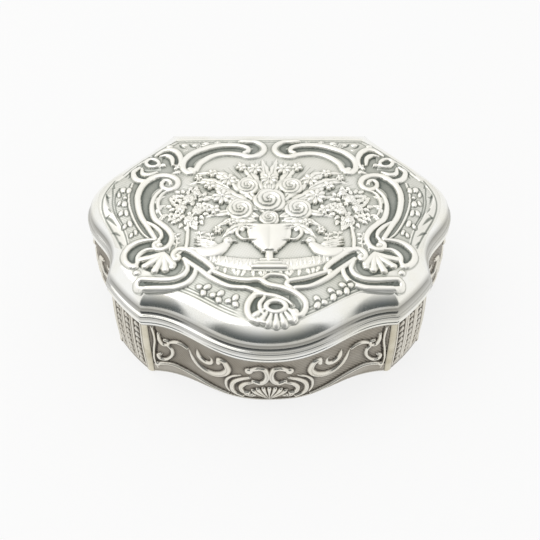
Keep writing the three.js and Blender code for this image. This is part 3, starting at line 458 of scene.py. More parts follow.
# how dark each part is painted: a dark reflection painted on the lower lip of the ovolo, shade painted in the
# hollow moulding, and the band with its line
rimTones = {"lip": 0.62, "lipShare": 0.26, "coveFoot": 0.45, "coveGain": 0.348, "band": 0.4, "line": 0.7,
            "neck": 0.9, "neckFoot": 0.7}
lipEnd = rimTones["lipShare"] * ovoloRound["turn"]
ovoloPaintedReflection = np.interp(ovoloAngles - ovoloAngles[0], [0, lipEnd], [rimTones["lip"], 0])
lidSection = {
    # painted shade in the hollow moulding, deepening from its foot up under the ovolo
    "cove": [(lidSizes["coveFlare"] + lidSizes["coveDepth"] * math.sin(t),
              bandTop + lidSizes["coveHeight"] * (1 - math.cos(t)),
              rimTones["coveFoot"] + rimTones["coveGain"] * t) for t in np.linspace(0, math.pi / 2, 12)],
    # the ovolo's lower lip carries a painted dark reflection that fades out up the round
    "ovolo": [(panelIn - away, panelEdge + ovoloDrop(away), shade)
              for away, shade in zip(ovoloWay, ovoloPaintedReflection)],
    "inside": arc((panelIn, ovoloFoot), (-(lidSizes["ovoloWidth"] - lidSizes["sheet"]),
                                         lidSizes["ovoloHeight"] - lidSizes["sheet"]), 90, 0, 10),
}
innerFoot = lidSizes["coveFlare"] + lidSizes["sheet"]
lidSection["back"] = [(innerFoot + lidSizes["coveDepth"], bandTop + lidSizes["coveHeight"]),
                      (innerFoot, bandTop)]
lidMoulding = moulding("lid_moulding", sum(lidSection.values(), []), mouldingSilver)
newPiece("lid_moulding", lidMoulding, [mouldingSilver], "lid", ["lid_shell"])

bandSection = {
    "round": 0.2, "lineAt": lidFoot + 0.62 * lidSizes["band"], "lineDeep": 0.06, "lineHalf": 0.14,
    "easeFrom": bandTop - 0.35, "easeIn": 0.12, "easeTo": bandTop - 0.15,
    "inner": bezelOuter - lidSizes["clearance"],
}
bandFace = [
    (0, bandSection["lineAt"] - bandSection["lineHalf"], rimTones["band"]),
    (bandSection["lineDeep"], bandSection["lineAt"], rimTones["line"]),
    (0, bandSection["lineAt"] + bandSection["lineHalf"], rimTones["band"]),
    (0, bandSection["easeFrom"], rimTones["band"]),
    (bandSection["easeIn"], bandSection["easeTo"], rimTones["band"]),
    (lidSizes["coveFlare"], bandTop, rimTones["line"])]
bandBack = [(bandSection["inner"], bandTop), (bandSection["inner"], lidFoot)]
bandRound = arc((bandSection["round"], lidFoot + bandSection["round"]), [bandSection["round"]] * 2, 270,
                180, 5)
lidBand = moulding("lid_edge_band", bandRound + bandFace + bandBack, mouldingSilver)
newPiece("lid_edge_band", lidBand, [mouldingSilver], "lid", ["lid_edge_band"])

rimSection = {"bead": 0.62, "neckIn": 0.45, "neckTop": 0.45, "neckFoot": 0.2, "footIn": 0.8}
rimTop = baseSizes["height"]
rimBead = arc((rimSection["bead"], rimTop - rimSection["bead"]), [rimSection["bead"]] * 2, 90, 250, 14)
rimNeck = [(rimSection["neckIn"], rimFoot + rimSection["neckTop"], rimTones["neck"]),
           (rimSection["neckIn"], rimFoot + rimSection["neckFoot"], rimTones["neckFoot"])]
rimBack = [(rimSection["footIn"], rimFoot), (rimInner, rimFoot), (rimInner, rimTop)]
baseRim = moulding("base_rim", rimBead + rimNeck + rimBack, mouldingSilver)
newPiece("base_rim", baseRim, [mouldingSilver], "base", ["base_rim"])

bezelTop = baseSizes["height"] + baseSizes["bezelRise"]
bezelInner = bezelOuter + baseSizes["bezel"]
bezelFoot = baseSizes["height"] - baseSizes["bezelDrop"]
bezelHalf = baseSizes["bezel"] / 2
bezelRound = arc((bezelOuter + bezelHalf, bezelTop - bezelHalf), [bezelHalf] * 2, 180, 0, 9)
bezel = moulding("bezel", [(bezelOuter, bezelFoot)] + bezelRound + [(bezelInner, bezelFoot)], giltSilver)
newPiece("bezel", bezel, [giltSilver], "base", ["bezel"])
print("mouldings swept")


# relief sheets: fields of height and tone that strokes, beads and shells are drawn on
def newSheet(left, right, low, high, step):
    xs, ys = np.arange(left, right + step / 2, step), np.arange(low, high + step / 2, step)
    x, y = np.meshgrid(xs, ys)
    return {"xs": xs, "ys": ys, "x": x, "y": y, "rise": np.zeros_like(x), "tone": np.zeros_like(x),
            "step": step, "peak": 0.5}


def smoothPath(points, perLeg=9):  # a curve through the points
    p = np.array(points, float)
    p = np.concatenate([[2 * p[0] - p[1]], p, [2 * p[-1] - p[-2]]])
    t = np.linspace(0, 1, perLeg, endpoint=False)[:, None]
    legs = [b + 0.5 * ((c - a) * t + (2 * a - 5 * b + 4 * c - d) * t ** 2 + (3 * b - a - 3 * c + d) * t ** 3)
            for a, b, c, d in zip(p, p[1:], p[2:], p[3:])]
    return np.concatenate(legs + [p[-2:-1]])


def windowOf(sheet, points, reach):  # the rows and columns round some points
    low, high = points.min(0) - reach, points.max(0) + reach
    return (slice(*np.searchsorted(sheet["ys"], [low[1], high[1]])),
            slice(*np.searchsorted(sheet["xs"], [low[0], high[0]])))


def strokeField(sheet, points, reach):  # distance to a curve, and the share of its length there
    path = smoothPath(points)
    window = windowOf(sheet, path, reach)
    x, y = sheet["x"][window], sheet["y"][window]
    legs = np.diff(path, axis=0)
    lengths = np.linalg.norm(legs, axis=1)
    travel = np.concatenate([[0], np.cumsum(lengths)])
    near, along = np.full(x.shape, 1e9), np.zeros(x.shape)
    for (px, py), (lx, ly), length, start in zip(path, legs, lengths, travel):
        share = np.clip(((x - px) * lx + (y - py) * ly) / length ** 2, 0, 1)
        gap = np.hypot(x - px - share * lx, y - py - share * ly)
        closer = gap < near
        near = np.where(closer, gap, near)
        along = np.where(closer, (start + share * length) / travel[-1], along)
    return window, near, along


def tapered(along, start, end):  # width share: full in the middle, less at the two ends
    return np.where(along < 0.5, start, end) * (1 - np.sin(np.pi * along)) + np.sin(np.pi * along)


def halfRound(share):  # profile of a round, 1 in its middle and 0 at its edge
    return np.sqrt(np.clip(1 - share ** 2, 0, 1))


# keeps the higher of two forms, and clears the tone under the new one
def laidOver(sheet, window, lifted, mask):
    height = sheet["rise"][window]
    over = mask & (lifted > height)
    height[:] = np.where(over, lifted, height)
    sheet["tone"][window][over] = 0.0


def cutInto(sheet, window, cut, deep, tone):  # a hollow that stays dark
    sheet["rise"][window] -= deep * cut
    sheet["tone"][window] = np.maximum(sheet["tone"][window], tone * cut)


sheetMargin = 0.4  # how far a stroke's window reaches beyond it


def roundStroke(sheet, path, width, rise, taper=(0.3, 0.3), foot=0.0, peak=None):
    window, gap, along = strokeField(sheet, path, width + sheetMargin)
    share = tapered(along, *taper)
    swell = np.clip(1 - (gap / (width * share)) ** 2, 0, 1) ** (peak or sheet["peak"])
    laidOver(sheet, window, foot + rise * swell * share ** 0.5, swell > 0)


leafShape = {"bend": 0.72, "veinHalf": 0.15, "lobeCut": 0.26, "lobeDip": 0.14, "lobeSlant": 2.2,
             "overlap": 0.12}


def leafStroke(sheet, path, width, rise, lobes=0, foot=0.0, vein=0.5):
    window, gap, along = strokeField(sheet, path, width + sheetMargin)
    shape = np.sin(np.pi * np.clip(along, 0.02, 0.98) ** leafShape["bend"])
    if lobes:
        shape = shape * (1 - leafShape["lobeCut"] * (1 - np.abs(np.sin(np.pi * lobes * along))))
    half = np.maximum(width * shape, 0.02)
    swell = halfRound(gap / half) * (1 - vein * np.exp(-(gap / leafShape["veinHalf"]) ** 2))
    if lobes:
        wave = np.abs(np.sin(np.pi * lobes * along + leafShape["lobeSlant"] * gap / half))
        swell = swell * (1 - leafShape["lobeDip"] * (1 - wave))
    height = sheet["rise"][window]
    lifted = foot + rise * swell * np.sqrt(np.clip(shape, 0, 1))
    over = (gap < half) & (lifted > height - leafShape["overlap"])
    height[:] = np.where(over, lifted, height)
    sheet["tone"][window][over] = 0.0


def groove(sheet, path, width, deep, tone=0.8):
    window, gap, along = strokeField(sheet, path, width + sheetMargin)
    cutInto(sheet, window, np.clip(1 - (gap / width) ** 2, 0, 1), deep, tone)


def darkLeaf(sheet, path, width, deep=0.1, tone=1.0):  # a leaf shape cut in and left dark
    window, gap, along = strokeField(sheet, path, width + sheetMargin)
    half = np.maximum(width * np.sin(np.pi * np.clip(along, 0.04, 0.97) ** 0.6), 0.05)
    cutInto(sheet, window, np.clip(1.6 * (1 - gap / half), 0, 1), deep, tone)


def sunkChannel(sheet, path, width, tone=0.95, deep=0.16):
    window, gap, along = strokeField(sheet, path, width + sheetMargin)
    slope = 0.25  # width of its sloping side
    inside = np.clip((width - gap) / slope, 0, 1)
    height, shade = sheet["rise"][window], sheet["tone"][window]
    height[:] = height * (1 - inside) - deep * inside
    shade[:] = shade * (1 - inside) + tone * inside


def turnedField(sheet, middle, reach, turn=0.0):  # places along and across a turned line through a point
    window = windowOf(sheet, np.array([middle]), reach)
    dx, dy = sheet["x"][window] - middle[0], sheet["y"][window] - middle[1]
    a = math.radians(turn)
    return window, dx * math.cos(a) + dy * math.sin(a), dy * math.cos(a) - dx * math.sin(a)


def polarField(sheet, middle, reach):
    window, dx, dy = turnedField(sheet, middle, reach + sheetMargin)
    return window, np.hypot(dx, dy), np.arctan2(dy, dx)


def bead(sheet, middle, radii, rise, turn=0.0, foot=0.0):
    window, along, across = turnedField(sheet, middle, max(radii) + sheetMargin, turn)
    far = np.hypot(along / radii[0], across / radii[1])
    laidOver(sheet, window, foot + rise * halfRound(far), far < 1)


def ringedBead(sheet, middle, radii, rise, turn):  # a lobe with a dark line cut round it
    line, deep = 0.3, 0.06
    window, along, across = turnedField(sheet, middle, max(radii) + line + sheetMargin, turn)
    far = np.hypot(along / (radii[0] + line), across / (radii[1] + line))
    cut = np.clip(4 * (1 - far), 0, 1)
    sheet["rise"][window] = sheet["rise"][window] * (1 - cut) - deep * cut
    sheet["tone"][window] = np.maximum(sheet["tone"][window], cut)
    bead(sheet, middle, radii, rise, turn)


def ovalRing(sheet, middle, hole, ridge, rise, turn=0.0):  # a raised ring round a dark hollow
    window, along, across = turnedField(sheet, middle, max(hole) + 2 * ridge, turn)
    far = np.hypot(along / hole[0], across / hole[1])
    out = (far - 1) * np.hypot(along, across) / np.maximum(far, 0.05)  # distance outside the hole
    crest = 0.8 * ridge
    bump = rise * halfRound((out - crest) / ridge)
    height, tone = sheet["rise"][window], sheet["tone"][window]
    height[:] = np.where(out < crest, np.maximum(bump, 0), np.maximum(height, bump))
    tone[:] = np.where(out < 0, 1.0, np.where(out < 1.7 * ridge, 0.0, tone))


shellShape = {"scallop": 0.14, "lipAt": 0.78, "hub": 0.42, "furrow": 0.25, "darkTo": 0.45, "dark": 0.65}


def fanShell(sheet, hub, towards, spread, radius, lobes, rise):
    s = shellShape
    window, far, angle = polarField(sheet, hub, radius)
    off = (np.degrees(angle) - towards + 180) % 360 - 180
    flute = np.abs(np.sin(np.pi * (off / spread + 0.5) * lobes))
    share = far / (radius * (1 - s["scallop"] + s["scallop"] * flute ** 0.7))
    lip = np.where(share > s["lipAt"], halfRound((share - s["lipAt"]) / (1 - s["lipAt"])), 1.0)
    slope = s["hub"] + (1 - s["hub"]) * share ** 0.7
    lifted = rise * lip * slope * (s["furrow"] + (1 - s["furrow"]) * flute ** 0.8)
    inside = (np.abs(off) < spread / 2) & (share < 1)
    laidOver(sheet, window, lifted, inside)
    furrows = inside & (flute < s["darkTo"]) & (share < 0.8)
    sheet["tone"][window] = np.where(furrows, s["dark"], sheet["tone"][window])


def blossom(sheet, middle, radius, petals, rise, turn=0.0, foot=0.0):
    window, far, angle = polarField(sheet, middle, radius)
    petal = np.abs(np.cos(petals * (angle - math.radians(turn)) / 2))
    share = far / (radius * (0.5 + 0.5 * petal ** 0.5))
    swell = np.sqrt(np.clip(1 - share ** 4, 0, 1)) * (0.55 + 0.45 * share) * (0.55 + 0.45 * petal)
    knob = halfRound(far / (0.26 * radius))
    laidOver(sheet, window, foot + rise * np.maximum(swell, 1.15 * knob), share < 1)


def rose(sheet, middle, radius, rise, turn=0.0, foot=0.0):
    window, far, angle = polarField(sheet, middle, radius)
    angle = angle - math.radians(turn)
    share = far / (radius * (0.88 + 0.12 * np.abs(np.cos(2.5 * angle))))
    layer = (3.2 * share + angle / np.pi + 0.12 * np.cos(5 * angle)) % 1  # petals wound in a spiral
    dome = np.sqrt(np.clip(1 - share ** 3, 0, 1))
    laidOver(sheet, window, foot + rise * dome * (0.62 + 0.38 * layer ** 1.5), share < 1)
    sheet["tone"][window] = np.where((share < 1) & (layer < 0.16), 0.6, sheet["tone"][window])


def flipped(path):  # a point or a path on the other side
    return np.array(path) * [-1, 1]


def bothSides(draw, sheet, path, *settings, **named):
    draw(sheet, path, *settings, **named)
    draw(sheet, flipped(path), *settings, **named)


def blurred(field, sigma):  # Gaussian blur, sigma in cells
    rows, columns = field.shape
    edge = int(4 * sigma) + 1
    padded = np.pad(field, edge, mode="edge")
    fy = np.fft.fftfreq(padded.shape[0])[:, None]
    fx = np.fft.rfftfreq(padded.shape[1])[None, :]
    passed = np.exp(-2 * (np.pi * sigma) ** 2 * (fx ** 2 + fy ** 2))
    soft = np.fft.irfft2(np.fft.rfft2(padded) * passed, padded.shape)
    return soft[edge:edge + rows, edge:edge + columns]


def settledPatina(sheet, look):  # dark where the relief is hollow, bright where a cloth reaches
    step = sheet["step"]
    hollow = blurred(sheet["rise"], look["wide"] / step) - sheet["rise"]
    crease = blurred(sheet["rise"], look["fine"] / step) - sheet["rise"]
    drawnTone = blurred(sheet["tone"], 0.09 / step)
    tone = look["ground"] + look["hollow"] * hollow + look["crease"] * crease + look["drawn"] * drawnTone
    return np.clip(tone, 0, 1)


# lid panel: distance to its edge, the dome over it and the ovolo beyond it
panelRing = outlineRing(0.5, panelIn)
panelOutline = panelRing["spot"] - panelRing["out"] * panelIn


def edgeDistance(x, y, outline):  # positive inside the outline, mitred like the ovolo outside its corners
    near, nearest, inside = np.full(x.shape, 1e9), np.zeros(x.shape, int), np.zeros(x.shape, bool)
    ends = np.roll(outline, -1, 0)
    for index, ((ax, ay), (bx, by)) in enumerate(zip(outline, ends)):
        lx, ly = bx - ax, by - ay
        share = np.clip(((x - ax) * lx + (y - ay) * ly) / (lx * lx + ly * ly), 0, 1)
        away = np.hypot(x - ax - share * lx, y - ay - share * ly)
        nearest = np.where(away < near, index, nearest)
        near = np.minimum(near, away)
        crosses = (ay > y) != (by > y)
        inside ^= crosses & (x < lx * (y - ay) / (ly if ly else 1e-9) + ax)
    legs = ends - outline
    facing = np.stack([legs[:, 1], -legs[:, 0]], 1) / np.linalg.norm(legs, axis=1)[:, None]
    levels = [(x - outline[k, 0]) * facing[k, 0] + (y - outline[k, 1]) * facing[k, 1]
              for k in (nearest, (nearest + 1) % len(outline), nearest - 1)]
    return np.where(inside, near, -np.max(levels, 0))


def pillow(inside, rounds=5000):  # an even swelling with its foot on the edge
    height = np.zeros(inside.shape)
    for turn in range(rounds):
        around = sum(np.roll(height, way, axis) for axis in (0, 1) for way in (1, -1))
        height = np.where(inside, around / 4 + 0.01, 0)
    return height / height.max()


def resampled(coarse, field, xs, ys):
    rows = np.stack([np.interp(xs, coarse["xs"], row) for row in field])
    return np.stack([np.interp(ys, coarse["ys"], column) for column in rows.T], 1)


lidSheetSizes = {"step": 0.135, "x": 40.6, "low": -31.0, "high": 27.5, "tuck": 0.4, "overlap": 0.6,
                 "exact": 3.2, "ribbon": 1.5, "ribbonMore": 1.3}
coarse = newSheet(-44, 44, -34, 32, 0.8)
coarseEdge = edgeDistance(coarse["x"], coarse["y"], panelOutline)
lidSheet = newSheet(-lidSheetSizes["x"], lidSheetSizes["x"], lidSheetSizes["low"], lidSheetSizes["high"],
                    lidSheetSizes["step"])
lidEdge = resampled(coarse, coarseEdge, lidSheet["xs"], lidSheet["ys"])
rimZone = np.abs(lidEdge) < lidSheetSizes["exact"]  # measured exactly where the sheet meets the ovolo
lidEdge[rimZone] = edgeDistance(lidSheet["x"][rimZone], lidSheet["y"][rimZone], panelOutline)
lidSwell = resampled(coarse, pillow(coarseEdge > 0), lidSheet["xs"], lidSheet["ys"])
lidDome = np.maximum(blurred(lidSwell, 7), 0)
lidSkin = panelEdge + lidSizes["dome"] * lidDome
lidSkin += np.where(lidEdge < 0, ovoloDrop(np.maximum(-lidEdge, 0)), 0)
# at the sides the chased border runs a little way down the ovolo, furthest near the necks
ribbonShare = np.clip((np.abs(lidSheet["x"]) - 28) / 4, 0, 1) * np.clip((lidSheet["y"] + 9) / 3, 0, 1)
ribbonShare *= np.clip((18 - lidSheet["y"]) / 4, 0, 1)
ribbonReach = lidSheetSizes["ribbon"] + lidSheetSizes["ribbonMore"] * np.clip((6 - lidSheet["y"]) / 10, 0, 1)
ribbonEdge = lidEdge + ribbonReach * ribbonShare
print("lid panel shaped", lidSheet["x"].shape)


def skinAt(x, y):  # height of the bare lid at a point
    column = int(np.clip(round((x - lidSheet["xs"][0]) / lidSheet["step"]), 0, len(lidSheet["xs"]) - 1))
    row = int(np.clip(round((y - lidSheet["ys"][0]) / lidSheet["step"]), 0, len(lidSheet["ys"]) - 1))
    return lidSkin[row, column]


# scrollwork of the lid's left half: sunk channels as middle line and half width,
# between ridges as crest line, half width and taper
lidChannels = {
    "side": ([(-25.7, 11.5), (-27.4, 10.2), (-28.6, 8.1), (-28.7, 5.2), (-28.1, 2.4), (-26.9, 0.0)], 1.5),
    "sideTail": ([(-26.3, -1.5), (-24.6, -2.7), (-23.2, -4.7), (-23.4, -6.4)], 1.0),
    "lower": ([(-30.5, -11.8), (-30.9, -10.0), (-29.7, -8.2), (-27.5, -7.3), (-25.9, -7.3)], 1.2),
    "hook": ([(-17.0, -14.1), (-17.6, -15.9), (-19.7, -17.5), (-22.6, -17.9), (-25.9, -17.7),
              (-27.8, -17.8)], 0.8),
    "arch": ([(-18.7, -10.5), (-16.1, -11.9), (-13.6, -13.9)], 1.1),
    "back": ([(-19.1, 16.6), (-18.9, 18.2), (-17.3, 20.3), (-14.6, 21.6)], 1.25),
    "bow": ([(-13.9, 22.6), (-11.0, 22.6), (-8.1, 22.5), (-6.0, 21.9)], 1.2),
    "backHook": ([(-6.8, 24.4), (-4.5, 24.2), (-3.1, 23.0), (-4.2, 21.6)], 0.9),
    "rear": ([(-25.4, 21.5), (-23.8, 21.6), (-22.5, 20.2), (-22.1, 17.7)], 0.9),
    "lobe": ([(-31.2, 15.6), (-30.6, 13.8), (-28.9, 13.2), (-26.9, 13.9)], 0.8),
}
lidRidges = {
    "sideOuter": ([(-25.6, -5.5), (-27.6, -1.9), (-29.3, 1.2), (-30.2, 4.4), (-30.5, 7.6), (-29.8, 10.5),
                   (-28.3, 12.5), (-26.1, 13.7), (-23.7, 13.6), (-21.9, 12.5), (-21.4, 10.8), (-22.2, 9.4),
                   (-23.6, 9.1), (-24.9, 9.9), (-25.2, 11.2), (-24.5, 12.1), (-23.4, 11.8), (-23.1, 10.9)],
                   0.84, (0.7, 0.6)),
    "sideInner": ([(-24.9, 9.4), (-26.4, 7.3), (-27.0, 4.8), (-26.8, 2.3), (-26.0, 0.1), (-24.5, -1.4),
                   (-22.7, -3.3), (-21.8, -5.4), (-22.3, -7.6), (-23.8, -8.7), (-25.3, -8.4), (-25.7, -7.2),
                   (-24.8, -6.5)], 0.76, (0.6, 0.8)),
    "sideThird": ([(-22.6, 8.7), (-24.5, 7.9), (-25.4, 6.3), (-25.6, 4.1), (-25.0, 1.9), (-24.0, 0.3)],
                   0.51, (0.5, 0.3)),
    "tailInner": ([(-27.7, -0.7), (-25.9, -2.1), (-24.6, -3.6), (-24.2, -5.0), (-24.7, -6.0)], 0.58,
                   (0.6, 0.8)),
    "lowerOuter": ([(-25.6, -5.9), (-27.4, -5.9), (-29.6, -6.4), (-31.4, -7.7), (-32.3, -9.4),
                    (-31.9, -11.4), (-30.6, -12.8), (-29.4, -13.0)], 0.79, (0.5, 1.0)),
    "lowerInner": ([(-25.4, -8.6), (-27.0, -8.6), (-28.3, -9.3), (-29.1, -10.6), (-29.1, -12.2),
                    (-29.7, -13.0)], 0.64, (0.6, 0.9)),
    "archUpper": ([(-19.9, -10.9), (-20.3, -11.6), (-20.9, -11.4), (-21.3, -10.4), (-20.8, -9.3),
                   (-19.6, -8.8), (-17.5, -9.4), (-15.3, -11.1), (-13.4, -12.8), (-12.3, -14.4),
                   (-13.1, -15.4)], 0.79, (0.8, 0.8)),
    "archLower": ([(-18.8, -11.5), (-17.4, -12.7), (-15.1, -14.6), (-12.4, -16.9), (-8.9, -18.9),
                   (-5.6, -19.4)], 0.71, (0.8, 0.9)),
    "hookUpper": ([(-18.5, -12.2), (-17.9, -14.0), (-18.7, -15.6), (-20.5, -16.6), (-23.1, -16.8),
                   (-25.9, -16.6), (-27.9, -16.5), (-28.9, -17.2)], 0.76, (0.7, 0.8)),
    "hookLower": ([(-16.0, -13.8), (-16.4, -15.9), (-18.0, -17.9), (-21.0, -18.9), (-24.5, -19.0),
                   (-27.3, -18.9), (-28.8, -18.4), (-29.0, -17.4)], 0.81, (0.7, 0.8)),
    "rearOuter": ([(-27.3, 20.9), (-25.7, 22.4), (-23.8, 22.8), (-22.2, 21.8), (-21.2, 19.5), (-21.3, 17.3),
                   (-22.3, 15.9)], 0.8, (0.5, 0.6)),
    "rearInner": ([(-26.2, 20.5), (-24.6, 20.7), (-23.4, 19.6), (-23.0, 17.4)], 0.7, (0.5, 0.6)),
    "lobeOuter": ([(-30.9, 16.9), (-32.2, 15.4), (-31.5, 13.1), (-29.5, 12.1), (-27.5, 12.7),
                   (-26.3, 13.8)], 0.82, (0.5, 0.5)),
    "lobeInner": ([(-30.3, 16.6), (-30.0, 14.8), (-28.5, 14.2), (-26.6, 15.0)], 0.7, (0.5, 0.5)),
    "backOuter": ([(-18.1, 14.5), (-19.3, 14.5), (-20.5, 16.1), (-20.3, 18.8), (-18.5, 21.2), (-15.8, 22.7),
                   (-13.6, 23.6), (-11.0, 24.1), (-7.6, 24.0), (-5.4, 23.2), (-5.1, 21.9), (-6.0, 21.3)],
                   0.86, (0.9, 0.7)),
    "backInner": ([(-18.8, 15.6), (-17.6, 15.2), (-17.1, 16.2), (-16.5, 17.6), (-14.7, 19.4), (-12.3, 20.6),
                   (-9.5, 20.9), (-6.6, 20.4), (-4.9, 19.7), (-2.7, 20.3), (-1.3, 22.2), (-1.7, 24.1),
                   (-3.3, 25.3), (-5.6, 25.4)], 0.86, (0.9, 0.7)),
    "backHook": ([(-7.4, 25.5), (-6.0, 25.5), (-4.6, 25.4)], 0.62, (0.5, 0.9)),
}
# the cartouche at the front, which differs left from right
frontChannels = {
    "cross": ([(-11.9, -16.0), (-8.5, -17.9), (-5.0, -18.4), (-2.4, -18.5), (-0.3, -19.7), (2.7, -20.9),
               (5.0, -22.0), (6.2, -23.7), (5.8, -24.9)], 0.75),
    "shellSide": ([(-2.1, -22.0), (-3.1, -23.4), (-3.1, -25.1), (-2.5, -26.2)], 0.8),
    "right": ([(4.7, -18.4), (8.8, -17.9), (13.0, -16.2)], 0.75),
}
frontRidges = {
    "crossUpper": ([(-11.9, -15.2), (-8.5, -16.8), (-5.0, -17.4), (-2.2, -17.3), (-0.1, -18.6),
                    (2.7, -19.3), (5.3, -20.4), (7.4, -22.2), (7.8, -24.1), (6.9, -25.9), (5.4, -26.2),
                    (4.6, -25.2)], 0.74, (0.8, 0.9)),
    "crossLower": ([(-6.6, -19.3), (-5.0, -19.4), (-2.9, -20.2), (-1.1, -21.1), (1.4, -21.6), (3.6, -22.5),
                    (4.8, -23.6)], 0.68, (0.9, 0.5)),
    "shellOuter": ([(-1.1, -21.0), (-3.1, -21.2), (-4.5, -23.1), (-4.7, -25.1), (-3.9, -26.9),
                    (-2.4, -27.9)], 0.79, (0.8, 0.8)),
    "shellInner": ([(-1.1, -22.0), (-2.0, -23.4), (-1.8, -25.1), (-0.8, -26.4)], 0.64, (0.7, 0.8)),
    "rightUpper": ([(13.3, -14.9), (11.5, -15.5), (8.0, -16.8), (4.5, -17.6), (3.7, -18.5), (4.7, -19.4)],
                    0.66, (0.9, 0.9)),
    "loop": ([(-1.6, -17.2), (0.2, -16.1), (3.2, -16.4), (4.3, -17.6)], 0.56, (0.7, 0.7)),
}
frontTrefoils = [
    (-14.2, -19.4, 150), (-11.1, -21.3, 165), (-7.7, -22.6, 180), (16.7, -18.9, 30), (14.0, -20.6, 15),
    (10.7, -22.8, 0)]
ridge = {"rise": 0.6, "peak": 0.62}

# a sunk, matted field inside a border of fine hatching
lidGround = {
    "field": (23.5, 18.5), "fieldY": 3.0, "fieldDeep": 0.05, "fieldTone": 0.16, "matting": 0.8,
    "mattingHigh": 0.02,
    "hatch": 0.62, "hatchHigh": 0.02, "hatchIn": 0.8, "borderTone": 0.34, "ribbonHigh": 0.13,
    "ribbonTone": 0.12,
    "edgeIn": 0.5, "earY": -12, "earX": 27.0, "earSlant": 0.35,
}


def drawLidGround(sheet):
    g = lidGround
    x, y = sheet["x"], sheet["y"]
    inField = np.hypot(np.abs(x) / g["field"][0], (y - g["fieldY"]) / g["field"][1]) < 1
    hatch = np.sin((x * 0.6 + y) * 2 * np.pi / g["hatch"])
    matting = np.sin(2 * np.pi * (x + 0.3 * y) / g["matting"])
    matting *= np.sin(2 * np.pi * (y - 0.3 * x) / g["matting"])
    sheet["rise"] += np.where(inField, g["mattingHigh"] * matting - g["fieldDeep"],
                              g["hatchHigh"] * hatch * (lidEdge > g["hatchIn"]))
    sheet["rise"] += np.where(lidEdge < 0.4, g["ribbonHigh"] * ribbonShare, 0)
    sheet["tone"] += np.where(inField, g["fieldTone"], g["borderTone"])
    plainEar = (y < g["earY"]) & (np.abs(x) > g["earX"] + g["earSlant"] * (y - g["earY"]))
    sheet["tone"][plainEar | (lidEdge < g["edgeIn"])] = 0.0
    sheet["tone"] += np.where(lidEdge < g["edgeIn"], g["ribbonTone"] * ribbonShare, 0)
    sheet["rise"][plainEar] = 0.0


ribbonLines = {
    "outer": [(-36.4, 12.8), (-38.0, 9.4), (-38.7, 6.8), (-38.6, 4.2), (-37.7, 1.6), (-36.3, -0.9),
              (-34.7, -3.7), (-33.1, -7.2)],
    "inner": [(-36.7, 10.6), (-36.4, 7.8), (-36.3, 5.7), (-35.8, 3.6), (-35.0, 1.4), (-33.6, -1.2),
              (-32.4, -4.2), (-31.7, -6.6)],
    "stem": [(-35.0, 10.4), (-35.7, 8.6), (-35.8, 6.7), (-35.5, 4.6), (-34.8, 2.2), (-33.1, -1.2)],
    "top": [(-36.3, 10.4), (-36.5, 11.6), (-35.7, 12.6)],
}
ribbonLeaves = [  # path and half width of each leaf cut between the ribbon's lines
    ([(-38.0, 8.6), (-37.6, 7.1), (-37.1, 5.3)], 0.42), ([(-38.0, 8.1), (-37.4, 7.5), (-36.8, 7.8)], 0.36),
    ([(-37.1, 4.1), (-36.7, 3.5), (-36.1, 2.6)], 0.28), ([(-37.6, 1.9), (-36.4, 1.0), (-34.8, -0.9)], 0.46),
    ([(-37.5, 1.5), (-37.0, 2.0), (-36.5, 2.4)], 0.3), ([(-35.8, -2.2), (-34.8, -2.8), (-33.5, -4.0)], 0.36),
    ([(-33.9, -5.2), (-33.3, -6.1), (-32.6, -6.9)], 0.28)]
ribbonLobes = [  # place, radii and turn of the white lobes of the rose garland
    ((-34.1, 9.6), (0.78, 0.9), 20), ((-32.8, 9.4), (0.62, 0.95), -10), ((-35.0, 8.1), (0.45, 0.85), 10),
    ((-33.5, 7.1), (0.5, 0.5), 0), ((-33.5, 5.2), (0.72, 0.95), 10), ((-34.7, 5.5), (0.42, 0.9), -15),
    ((-34.0, 2.5), (0.6, 1.05), -25), ((-32.8, 2.5), (0.52, 1.1), 15), ((-32.9, -1.5), (0.55, 0.95), -20),
    ((-31.7, -0.7), (0.58, 1.1), 20), ((-30.2, -3.4), (0.5, 0.9), 15), ((-31.1, -4.1), (0.45, 0.8), -10)]


borderLines = {
    "fillet": [(-32.1, 11.7), (-32.6, 9.1), (-32.6, 6.5), (-31.9, 3.3), (-30.4, -0.5), (-28.4, -3.9),
               (-26.7, -5.6)],
    "flatBand": [(-31.1, 11.2), (-31.7, 8.3), (-31.5, 5.4), (-30.6, 2.2), (-29.0, -1.4), (-27.2, -4.1)],
    "back": [(-22.5, 26.1), (-14, 26.1), (-7.5, 26.1), (0, 26.1)],
    "rear": [(-22.5, 26.1), (-26.0, 23.4), (-29.5, 20.4), (-32.6, 17.4), (-34.6, 14.6)],
}
rearLeaves = [
    [(-21.8, 24.6), (-21.2, 23.6), (-20.0, 23.2)], [(-19.4, 24.9), (-18.9, 23.9), (-17.7, 23.4)],
    [(-16.8, 25.2), (-16.2, 24.3), (-15.0, 24.0)], [(-25.6, 22.9), (-24.4, 22.5), (-23.4, 21.6)],
    [(-31.6, 17.6), (-31.2, 16.3), (-31.9, 15.0)], [(-33.2, 15.6), (-32.9, 14.4), (-33.4, 13.3)]]
rearScales = [(-20.6, 24.4), (-18.0, 24.3), (-15.4, 24.9), (-12.6, 25.2), (-24.2, 24.0), (-29.6, 18.9)]
frontLines = {"insets": (0.45, 1.15, 1.85), "from": 6.0, "to": 22.0, "y": -14, "half": 0.17}


